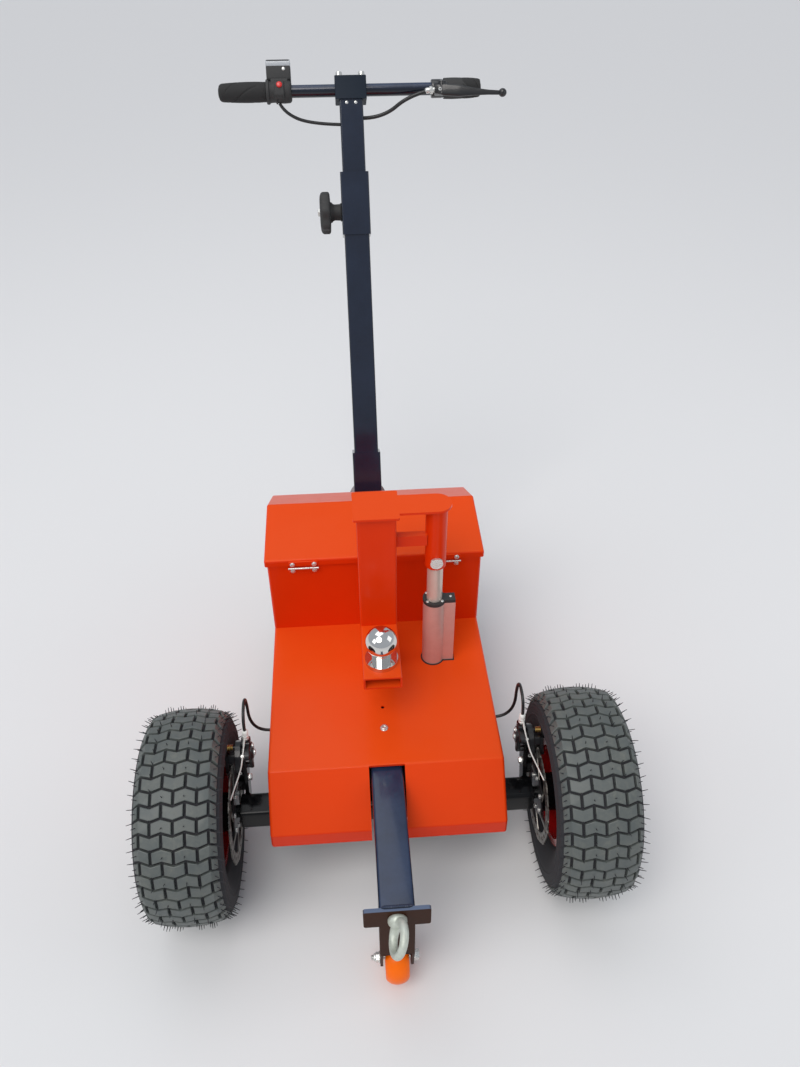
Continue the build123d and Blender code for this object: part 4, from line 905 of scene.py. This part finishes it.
def grip_sleeve(low, high, radius=16.5):
    """Soft grip: round outer end, widest past its middle, with curved slanting grooves as narrow waves."""
    t, turn = np.linspace(0, 1, 110)[:, None], even_turn(80)[None, :]
    swell = radius * (0.88 + 0.2 * np.sin(pi * np.clip(t * 0.62 + 0.08, 0, 1)))
    swell = swell * (0.62 + 0.38 * np.sqrt(1 - np.clip(1 - t / 0.09, 0, 1) ** 2))
    slant = np.abs(np.sin(1.5 * turn + 5.5 * t + 1.3 * np.sin(3 * t)))
    cut = np.clip(1 - slant / 0.17, 0, 1) ** 0.7 * np.clip((t - 0.12) / 0.05, 0, 1)
    cut = cut * np.clip((0.86 - t) / 0.05, 0, 1)
    rings = 0.25 * np.clip(np.sin(t * 2 * pi * 26), 0, 1) * np.clip((t - 0.88) / 0.02, 0, 1)
    out = (swell - 1.5 * cut - rings)[..., None]
    along = (low + (high - low) * t)[..., None]
    round_bar = np.cos(turn)[..., None] * OFF_MAST + np.sin(turn)[..., None] * UP_MAST
    grid = BAR + MM * (along * ACROSS + out * round_bar)
    # Rounded end face: the first ring drawn in twice, a little further out
    start, outward = BAR + MM * low * ACROSS, np.sign(low - high) * MM * ACROSS
    ends = [start + part * (grid[:1] - start) + on * outward for part, on in ((0.25, 1.2), (0.8, 0.8))]
    return skin(np.concatenate((*ends, grid)))


def around_bar(profile, count=48):
    """Surface round the handlebar through (x, radius) pairs."""
    return spun(profile, BAR, ACROSS, count, hint=UP_MAST)


def across_bar(outline, steps):
    """Outline in the plane of (off, up) from the handlebar, carried along x through (x, inset) steps."""
    return prism(outline, steps, BAR, ACROSS, OFF_MAST, UP_MAST)


def throttle():
    """Left side: grip, throttle housing with its charge display and red button."""
    make("left_grip_sleeve", "mast_top", [grip_sleeve(-245, -158)], "grip", ("throttle_grip",), sharp=60)
    shell = (
        (-157, 15.5), (-157, 20.6), (-155.8, 21.4), (-152, 21.4), (-151.2, 20.4), (-150.4, 19.2), (-148, 18.6),
        (-141, 18.4), (-139, 19.4), (-124, 20.2), (-114, 19.6), (-111.4, 18), (-110, 15.5),
    )
    ring = ((-139.6, 18.0), (-139.6, 20.9), (-138.8, 21.2), (-137.8, 21.2), (-137, 20.9), (-137, 18.0))
    panel = (-154.8, 1.6), (-153.6, 0.3), (-151, 0), (-114, 0), (-111.6, 0.3), (-110.4, 1.6)
    foot = softened(((-14, 8), (14, 8), (12, 24), (-12, 24)), 3)
    switch_body = softened(((-23.4, -12), (-10, -17), (-8, 14), (-18, 15), (-23.6, 9)), 3.5)
    case = [
        around_bar(shell),
        around_bar(ring, 40),
        across_bar(rounded(26, 36, 5) + (0, 35), panel),
        across_bar(foot, chamfered(-148, -116, 1)),
        across_bar(switch_body, ((-141, 1.4), (-139.4, 0), (-124.4, 0), (-123, 1.4))),
    ]
    make("throttle_case", "mast_top", case, "plastic", ("throttle_housing",), sharp=40)
    window = softened(((-13.35, 41), (13.35, 41), (13.35, 49), (8.5, 53.4), (-8.5, 53.4), (-13.35, 49)), 1.2)
    make("charge_display", "mast_top", [across_bar(window, chamfered(-155, -110.2, 0.8))], "pale")
    button = ((0, 5.4), (1.6, 5.4), (2.6, 4.6), (3.1, 3.0), (3.2, 0.4))
    red = [spun(button, bar_point(-131.5, -22.6, 6.5), -OFF_MAST + 0.25 * UP_MAST, 28)]
    make("throttle_button", "mast_top", red, "button")
    screws = [pan_screw(bar_point(-122.5, -13.0, 36), -OFF_MAST, 3.2, 1.4)]
    screws += [pan_screw(bar_point(x, 19.2, 5), OFF_MAST, 2.0, 1.2) for x in (-146, -120)]
    make("housing_screws", "mast_top", screws, "zinc")


def brake_handle():
    """Right side: short grip end, lever clamp, the lever's blade, its hood and its adjuster."""
    make("right_grip_sleeve", "mast_top", [grip_sleeve(245, 201)], "grip", ("right_grip",), sharp=60)
    sleeve = (
        (152, 11.2), (152, 15.2), (153.2, 16.2), (170, 16.2),
        (176, 15.4), (199, 14.6), (200, 13.6), (200, 11.2),
    )
    block = softened(((-29, -15), (-10, -16), (-6, 10), (-22, 6), (-29, -3)), 4)
    clamp = [around_bar(sleeve), across_bar(block, chamfered(156, 182, 1.5))]
    make("lever_clamp", "mast_top", clamp, "cast_black", sharp=40)
    # Blade: the outline of each cross section shrinks along a path that sweeps forward and out to the ball
    share = np.linspace(0, 1, 36)[:, None]
    ahead = 24 + 16 * np.sin(share * pi / 2) ** 0.8
    path = BAR + MM * ((160 + share * 119) * ACROSS - ahead * BACK + 5 * (1 - share) * UP)
    thick = np.interp(share, (0, 0.12, 0.35, 0.6, 0.8, 1), (0.75, 1.0, 0.95, 0.6, 0.42, 0.36))
    ball = np.linspace(0.08, pi - 0.08, 18)
    blade = [
        carried(path, rounded(9.5, 21, 4.2), UP_MAST, thick),
        spun(7.6 * np.column_stack((-np.cos(ball), np.sin(ball))), path[-1] + 3 * MM * ACROSS, ACROSS, 28),
        spun(((-12, 5.6), (-11, 6.8), (11, 6.8), (12, 5.6)), bar_point(170, -24, -5), UP_MAST, 28),
    ]
    make("lever_blade", "mast_top", blade, "cast_black", ("brake_lever",), sharp=50)
    # Hood: an arc of 236 degrees round the bar, thick at its crown, in closed rings
    turn = np.linspace(-radians(118), radians(118), 26)
    arc = np.column_stack((-np.cos(turn), np.sin(turn)))
    t = np.linspace(0, 1, 40)[10:]
    swell = 13.2 + 3.6 * np.sin(pi * np.clip(t * 1.15, 0, 1)) ** 0.7
    rings = [
        (152 + 92 * at, np.vstack((arc * (out + 1.6), arc[::-1] * (out + 0.2))))
        for at, out in zip(t, swell)
    ]
    make("lever_hood", "mast_top", [stacked(rings, BAR, ACROSS, OFF_MAST, UP_MAST)], "plastic", sharp=50)
    barrel = (
        (0, 4.6), (7.4, 4.6), (7.6, 6.6), (8.4, 7), (12, 7),
        (12.8, 6.4), (13, 5.2), (19, 5.2), (21, 4), (22, 2.6),
    )
    bright = [
        spun(barrel, bar_point(160, -22, -7), -ACROSS - 0.1 * UP_MAST, 30),
        socket_screw(bar_point(166, -28.6, -8), -OFF_MAST, 3.2, 2.2),
        pan_screw(bar_point(170, -24, 6.4), UP_MAST, 3.6, 2.0),
    ]
    make("lever_adjuster", "mast_top", bright, "zinc")


def star_knob():
    """Clamp knob: its radius rises and falls seven times round; dished face, cut edges, neck and screw."""
    origin, count = on_mast(613, 0, -27), 140
    lobe = 37.0 + 2.6 * np.cos(7 * even_turn(count))
    steps = (
        (21, 18), (22, lobe - 5), (23.2, lobe - 1.6), (25.5, lobe), (35.5, lobe), (39, lobe - 2.2), (41, lobe - 7),
        (41.6, 25), (40.4, 21), (39.8, 12), (39.8, 1),
    )
    knob = stacked([(along, circle(radius, count)) for along, radius in steps], origin, -ACROSS, BACK, UP)
    neck = ((0, 16.4), (1.2, 17), (3, 15.2), (13, 14.6), (16, 15.4), (19, 18.6), (21.5, 19.4))
    make("star_knob", "frame", [knob, spun(neck, origin, -ACROSS)], "plastic", ("clamp_knob",), sharp=40)
    screw = [
        washer(origin - 39.6 * MM * ACROSS, -ACROSS, 11, 1.6),
        hex_head(origin - 41 * MM * ACROSS, -ACROSS, 13, 5),
    ]
    make("knob_screw", "frame", screw, "zinc")


# Hinges, nose and small hardware


def hinges():
    """Butt hinges: orange leaves with round corners, bright knuckles and pin, a pan screw pair at each end."""
    front, lip = span("battery_box")[0][1], span("box_lid")[0][1]
    pin_z = span("lid_hinges")[0][2] + 3 * MM
    leaf = rounded(50, 12.0, 3)
    steps = ((-0.2, 0), (1.0, 0), (1.5, 0.5))
    pin = (-26.2, 0.8), (-25.8, 1.9), (-25, 1.9), (-25, 1), (25, 1), (25, 1.9), (25.8, 1.9), (26.2, 0.8)
    middle_knuckle = ((-9.6, 1.1), (-9.6, 1.4), (-9.2, 1.7), (9.2, 1.7), (9.6, 1.4), (9.6, 1.1))
    box_leaves, lid_leaves, pins, box_screws, knuckles, lid_screws = [], [], [], [], [], []
    for mid in (-122, 122):
        box_leaves.append(prism(leaf + (mid, 0), steps, np.array((0, front, pin_z - 9 * MM)), -BACK, ACROSS, UP))
        lid_leaf = leaf * (1, 0.8) + (mid, 0)
        lid_leaves.append(prism(lid_leaf, steps, np.array((0, lip, pin_z + 8.6 * MM)), -BACK, ACROSS, UP))
        place = np.array((mid * MM, lip - 3 * MM, pin_z))
        for centre in (-17.4, 17.4):
            knuckle = np.array(((-7.4, 1.3), (-7.0, 1.7), (7.0, 1.7), (7.4, 1.3))) + (centre, 0)
            pins.append(spun(knuckle, place, ACROSS, 20))
        pins.append(spun(pin, place, ACROSS, 20))
        knuckles.append(spun(middle_knuckle, place, ACROSS, 20, loop=True))
        for x in (mid - 18.5, mid + 18.5):
            for screws, face, z in ((box_screws, front, -9.0), (lid_screws, lip, 8.0)):
                screws.append(pan_screw(np.array((x * MM, face - 1.5 * MM, pin_z + z * MM)), -BACK, 4.2, 2.6))
    make("hinge_leaves", "frame", box_leaves, "orange", ("box_hinges",))
    make("hinge_pins", "frame", pins + box_screws, "zinc")
    make("lid_hinge_leaves", "lid", lid_leaves, "orange", ("lid_hinges",))
    make("lid_hinge_knuckles", "lid", knuckles + lid_screws, "zinc")


def nose():
    """Forged towing eye tilted to one side, barrel roller on an ellipse, and the nut and bolt on them."""
    root = np.array((0.0, span("tongue_plate")[0][1], middle("tongue_plate")[2]))
    tilt, turn = radians(21), even_turn(72)[:, None]
    normal = cos(tilt) * ACROSS - sin(tilt) * UP
    thick = 6.0 + 1.3 * np.clip(np.cos(turn), 0, 1) ** 2 - 0.25 * np.clip(-np.cos(turn), 0, 1)
    path = root - 29 * MM * BACK + 21 * MM * (np.cos(turn) * BACK + np.sin(turn) * np.cross(normal, BACK))
    collar = ((-0.4, 12.4), (1.2, 13.6), (4.4, 13.6), (7.4, 12.6), (10.2, 10.2), (12.6, 8.0), (14.6, 4.6))
    forged = [carried(path, circle(1, 20), normal, thick, loop=True), spun(collar, root, -BACK, 44)]
    make("tow_eye", "frame", forged, "galvanised", ("eye_bolt",), sharp=50)
    core = middle("nose_roller")
    tread = np.linspace(-17.5, 17.5, 25)
    barrel = np.column_stack((tread, 39 - 12 * (1 - np.sqrt(1 - (tread / 18.4) ** 2))))
    face = np.array(((-16.6, 6.0), (-16.6, 15.0), (-15.4, 17.0), (-15.4, 26.0), (-16.4, 29.0)))
    line = np.vstack((face, barrel, face[::-1] * (-1, 1)))
    roller = [spun(line, core, ACROSS, 72, loop=True)]
    make("urethane_roller", "nose_wheel", roller, "roller", ("nose_roller",))
    nut = [washer(root + 6 * MM * BACK, BACK, 14, 2), hex_head(root + 8 * MM * BACK, BACK, 18, 8)]
    make("tow_eye_nut", "frame", nut, "zinc")
    pin = core * (0, 1, 1)
    nut_foot = pin - 26.5 * MM * ACROSS
    bright = [
        washer(pin - 25 * MM * ACROSS, -ACROSS, 9, 1.5),
        washer(pin + 25 * MM * ACROSS, ACROSS, 9, 1.5),
        hex_head(pin + 26.5 * MM * ACROSS, ACROSS, 14, 7.5),
        hex_head(nut_foot, -ACROSS, 13, 5.55),
        spun(((0, 5.98), (2.25, 5.72), (2.55, 4.68)), nut_foot - 5.4 * MM * ACROSS, -ACROSS, 24),
        thread(nut_foot - 7 * MM * ACROSS, -ACROSS, 4, 5),
        spun(((-26, 3.9), (26, 3.9)), pin, ACROSS, 24),
    ]
    make("roller_bolt", "frame", bright, "zinc", ("nose_bolt",))


def small_hardware():
    """Screws of the deck, cylinder flange, handlebar clamp and foot plate, and a dark sheet of painted gap shadow round
    the cylinder.
    """
    spot = np.array((0.0, AXLE[1] + 88 * MM, DECK_Z))
    deck = [washer(spot, UP, 6.4, 1.0), socket_screw(spot + MM * UP, UP, 4.8, 3.2)]
    make("deck_screw", "frame", deck, "zinc")
    rod = middle("actuator_rod") * (1, 1, 0)
    flange = rod + span("actuator_flange")[1][2] * UP
    corners = ((-12, -10.5), (12, -10.5), (-12, 10.5), (12, 10.5))
    screws = [pan_screw(flange + MM * (x * ACROSS + y * BACK), UP, 2.6, 1.8) for x, y in corners]
    screws.append(pan_screw(flange + 27 * MM * ACROSS, UP, 2.4, 1.6))
    make("flange_screws", "frame", screws, "zinc")
    block = prism(rounded(58.6, 50.6, 2.0, 4), chamfered(-20.3, 20.3, 0.8), BAR, UP_MAST, ACROSS, OFF_MAST)
    make("bar_clamp", "mast_top", [block], "satin")
    clamp = []
    for x in (-21, 21):
        clamp += [socket_screw(bar_point(x, off, 20), UP_MAST, 6, 8) for off in (-15, 15)]
        clamp.append(pan_screw(bar_point(x * 0.4, -20.0, -26), -OFF_MAST, 3.4, 2.4))
    make("clamp_screws", "mast_top", clamp, "zinc")
    foot = np.array((0.0, COVER_REAR, DECK_Z - 50 * MM))
    places = [foot + MM * (x * ACROSS + z * UP) for x in (-47, 47) for z in (-27, 27)]
    bolts = [hex_head(place + 6 * MM * BACK, BACK, 13, 5.5) for place in places]
    bolts += [washer(place + 5.6 * MM * BACK, BACK, 9, 1.4) for place in places]
    make("foot_plate_bolts", "frame", bolts, "zinc")
    # Dark ring and frame on the deck round the cylinder and its channel: painted shadow of the gap in the deck's
    # opening
    opening = rod + DECK_Z * UP
    reach = (span("actuator_body")[1][0] - rod[0]) / MM + 2.2
    channel = softened(((16, -11.2), (reach, -11.2), (reach, 11.2), (16, 11.2)), 1.2)
    gap_shadow = [
        spun(((0.0, 17.6), (0.0, 20.6), (0.6, 20.6), (0.9, 20.2), (0.9, 17.6)), opening, UP, loop=True),
        prism(channel, ((0, 0), (0.6, 0), (0.9, 0.3)), opening, UP, ACROSS, BACK),
    ]
    make("gap_shadow_sheet", "frame", gap_shadow, "grip")


# Settings, then an operator for each piece or group of like pieces


class DollySizes(bpy.types.PropertyGroup):
    """Sizes of the pieces that the scene adds."""

    tread_rows: IntProperty(
        name="Tread rows", description="Rows of blocks round a tyre", default=50, min=20, max=60
    )
    tread_high: FloatProperty(
        name="Tread depth", description="Height of a turf block, mm", default=5.2, min=2, max=8
    )
    tread_share: FloatProperty(
        name="Block share", description="Block over row pitch", default=0.87, min=0.4, max=0.9
    )
    tread_wave: FloatProperty(
        name="Zigzag", description="Half height of a row's zigzag, mm", default=2.6, min=0, max=6
    )
    nib_long: FloatProperty(
        name="Nib length", description="Longest moulding nib, mm", default=10.0, min=0, max=12
    )


class DollyColours(bpy.types.PropertyGroup):
    """Colours that a user would change."""

    cover_orange: FloatVectorProperty(
        name="Cover orange", description="Coat of cover, box and lift", subtype="COLOR", default=(0.79, 0.039, 0.002)
    )
    frame_black: FloatVectorProperty(
        name="Frame black", description="Enamel of tongue and mast", subtype="COLOR", default=linear((18, 24, 36))[:3]
    )
    rim_red: FloatVectorProperty(
        name="Rim red", description="Enamel of the wheel rims", subtype="COLOR", default=linear((170, 18, 18))[:3]
    )


class MESH_OT_dolly_finishes(bpy.types.Operator):
    """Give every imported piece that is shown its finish"""

    bl_idname, bl_label = "mesh.dolly_finishes", "Finishes"

    def execute(self, context):
        for finish, nodes in PACKED_PIECES.items():
            for node in nodes.split():
                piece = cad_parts[node]
                material = material_of(finish)
                if not piece.material_slots:
                    piece.data.materials.append(material)
                for place in piece.material_slots:
                    place.material = material
        return {"FINISHED"}


class MESH_OT_dolly_tyres(bpy.types.Operator):
    """Turf tyres: carcass, blocks and moulding nibs"""

    bl_idname, bl_label = "mesh.dolly_tyres", "Turf tyres"

    def execute(self, context):
        own = context.scene.dolly_sizes
        for side, tag in SIDES:
            wheel_x = side * TRACK
            body = [carcass(wheel_x, own.tread_high)] + moulding_nibs(wheel_x, own.tread_rows, own.nib_long)
            make("tyre_carcass_" + tag, "wheel_" + tag, body, "tyre", ("tyre_" + tag,), sharp=28)
            make("turf_blocks_" + tag, "wheel_" + tag, tread_blocks(wheel_x, own), "turf", sharp=28)
        return {"FINISHED"}


class MESH_OT_dolly_rim_bolts(bpy.types.Operator):
    """Rim bolts, dust caps and valves"""

    bl_idname, bl_label = "mesh.dolly_rim_bolts", "Rim bolts"

    def execute(self, context):
        for side, tag in SIDES:
            rim_hardware(side, tag)
        return {"FINISHED"}


class MESH_OT_dolly_brakes(bpy.types.Operator):
    """Axle tube, brake discs and calipers with their fittings"""

    bl_idname, bl_label = "mesh.dolly_brakes", "Brakes"

    def execute(self, context):
        for side, tag in SIDES:
            brake_rotor(side, tag)
            caliper(side, tag)
            caliper_fittings(side, tag)
        axle_tube()
        return {"FINISHED"}


class CURVE_OT_dolly_cables(bpy.types.Operator):
    """Brake cables, throttle wires and lever cables, each over its route's points"""

    bl_idname, bl_label = "curve.dolly_cables", "Cables"

    def execute(self, context):
        front, rear, stop_x = AXLE[1] + 0.06186, AXLE[1] + 0.115, 0.217
        for side, tag in SIDES:
            arc = ((stop_x, front, 0.28), (stop_x, front, 0.312), (stop_x, rear, 0.312), (stop_x, rear, 0.215))
            route = [(side * x, y, z) for x, y, z in (*arc, (COVER_SIDE, rear, 0.215))]
            run_of_cable("brake_run_" + tag, "frame", route, 0.0025, "brake_cable_" + tag)
        throttle_route = ((-133.5, 0, -20.5), (-125, 0, -37), (-80, 6, -55.5), (-22, 6, -58))
        lever_route = ((152, -22, -8), (110, -22, -15), (60, 4, -48), (22, 4, -48))
        for name, points, radius, node in (
            ("throttle_loop", throttle_route, 0.003, "throttle_wires"),
            ("lever_loop", lever_route, 0.0035, "lever_cables"),
        ):
            run_of_cable(name, "mast_top", [bar_point(*point) for point in points], radius, node)
        return {"FINISHED"}


class MESH_OT_dolly_controls(bpy.types.Operator):
    """Grips, throttle, display, button and brake lever"""

    bl_idname, bl_label = "mesh.dolly_controls", "Controls"

    def execute(self, context):
        throttle()
        brake_handle()
        return {"FINISHED"}


class MESH_OT_dolly_knob(bpy.types.Operator):
    """Clamp knob on the mast's collar"""

    bl_idname, bl_label = "mesh.dolly_knob", "Clamp knob"

    def execute(self, context):
        star_knob()
        return {"FINISHED"}


class MESH_OT_dolly_hinges(bpy.types.Operator):
    """Hinges of the lid"""

    bl_idname, bl_label = "mesh.dolly_hinges", "Hinges"

    def execute(self, context):
        hinges()
        return {"FINISHED"}


class MESH_OT_dolly_nose(bpy.types.Operator):
    """Tongue tube, towing eye, roller and its bolt"""

    bl_idname, bl_label = "mesh.dolly_nose", "Tongue and towing eye"

    def execute(self, context):
        tongue_tube()
        nose()
        return {"FINISHED"}


class MESH_OT_dolly_hardware(bpy.types.Operator):
    """Small screws and bolts"""

    bl_idname, bl_label = "mesh.dolly_hardware", "Small hardware"

    def execute(self, context):
        small_hardware()
        return {"FINISHED"}


def aimed(name, data, place, aim):
    """Show a light at its place, turned towards its aim."""
    lamp = bpy.data.objects.new(name, data)
    bpy.context.scene.collection.objects.link(lamp)
    lamp.location = place
    lamp.rotation_euler = (Vector(aim) - Vector(place)).to_track_quat("-Z", "Y").to_euler()


class SCENE_OT_dolly_stage(bpy.types.Operator):
    """Pale floor, soft studio light and the camera at the photograph's angle"""

    bl_idname, bl_label = "scene.dolly_stage", "Stage"

    def execute(self, context):
        scene = context.scene
        half = 14.0
        floor_mesh = bpy.data.meshes.new("floor")
        corners = [(-half, -half, 0), (half, -half, 0), (half, half, 0), (-half, half, 0)]
        floor_mesh.from_pydata(corners, [], [(0, 1, 2, 3)])
        floor = bpy.data.objects.new("floor", floor_mesh)
        pale = bpy.data.materials.new("floor_pale")
        pale.use_nodes = True
        shader = pale.node_tree.nodes["Principled BSDF"]
        shader.inputs["Base Color"].default_value = linear((226, 226, 226))
        shader.inputs["Roughness"].default_value = 0.7
        floor_mesh.materials.append(pale)
        scene.collection.objects.link(floor)
        world = bpy.data.worlds.new("studio")
        world.use_nodes = True
        sky = world.node_tree.nodes["Background"]
        sky.inputs["Color"].default_value = (0.84, 0.9, 1.0, 1.0)
        sky.inputs["Strength"].default_value = 0.5
        scene.world = world
        sun = bpy.data.lights.new("soft_sun", "SUN")
        sun.energy, sun.angle, sun.color = 1.5, radians(40), (1.0, 0.96, 0.92)
        aimed("soft_sun", sun, (0, 0, 0), (0.35, 0.55, -1.0))
        for name, place, aim, size, power in (
            ("top_light", (-0.5, 0.6, 3.0), (0, 0, 0.3), 2.0, 14),
            ("left_light", (-2.8, -1.6, 2.2), (0, 0, 0.4), 1.6, 10),
            ("right_light", (2.6, -0.6, 1.9), (0, 0, 0.4), 1.6, 7),
        ):
            light = bpy.data.lights.new(name, "AREA")
            light.shape, light.size, light.energy = "SQUARE", size, power
            aimed(name, light, place, aim)
        lens = bpy.data.cameras.new("photo_view")
        lens.sensor_width, lens.lens = 36.0, 30.03
        eye = bpy.data.objects.new("photo_view", lens)
        scene.collection.objects.link(eye)
        pitch, yaw, roll = radians(39.2), radians(4.0), radians(-0.2)
        ahead = Vector((sin(yaw) * cos(pitch), cos(yaw) * cos(pitch), -sin(pitch)))
        right = Vector((cos(yaw), -sin(yaw), 0.0))
        turned = Matrix((right, right.cross(ahead), -ahead)).transposed().to_4x4()
        place = Matrix.Translation((-0.0372, -0.8265 + AXLE[1], 1.3873))
        eye.matrix_world = place @ turned @ Matrix.Rotation(roll, 4, "Z")
        scene.camera = eye
        scene.view_settings.view_transform = "Standard"
        return {"FINISHED"}


class VIEW3D_PT_dolly(bpy.types.Panel):
    """Sidebar panel with the dolly's sizes, colours and pieces"""

    bl_idname, bl_label = "VIEW3D_PT_dolly", "Trailer dolly"
    bl_space_type, bl_region_type, bl_category = "VIEW_3D", "UI", "Dolly"

    def draw(self, context):
        for holder in (context.scene.dolly_sizes, context.scene.dolly_colours):
            for label in holder.__annotations__:
                self.layout.prop(holder, label)
        for step in STEPS:
            self.layout.operator(step.bl_idname)


STEPS = (
    MESH_OT_dolly_finishes,
    MESH_OT_dolly_tyres,
    MESH_OT_dolly_rim_bolts,
    MESH_OT_dolly_brakes,
    CURVE_OT_dolly_cables,
    MESH_OT_dolly_controls,
    MESH_OT_dolly_knob,
    MESH_OT_dolly_hinges,
    MESH_OT_dolly_nose,
    MESH_OT_dolly_hardware,
    SCENE_OT_dolly_stage,
)
CLASSES = (DollySizes, DollyColours) + STEPS + (VIEW3D_PT_dolly,)


def register():
    """Register the classes and hang the settings on the scene."""
    for kind in CLASSES:
        bpy.utils.register_class(kind)
    bpy.types.Scene.dolly_sizes = PointerProperty(type=DollySizes)
    bpy.types.Scene.dolly_colours = PointerProperty(type=DollyColours)


def unregister():
    """Take the settings and the classes away."""
    del bpy.types.Scene.dolly_colours
    del bpy.types.Scene.dolly_sizes
    for kind in reversed(CLASSES):
        bpy.utils.unregister_class(kind)


def main():
    """Build every piece in order."""
    register()
    for step in STEPS:
        family, name = step.bl_idname.split(".")
        getattr(getattr(bpy.ops, family), name)()
    bpy.context.view_layer.update()


if __name__ == "__main__":
    main()
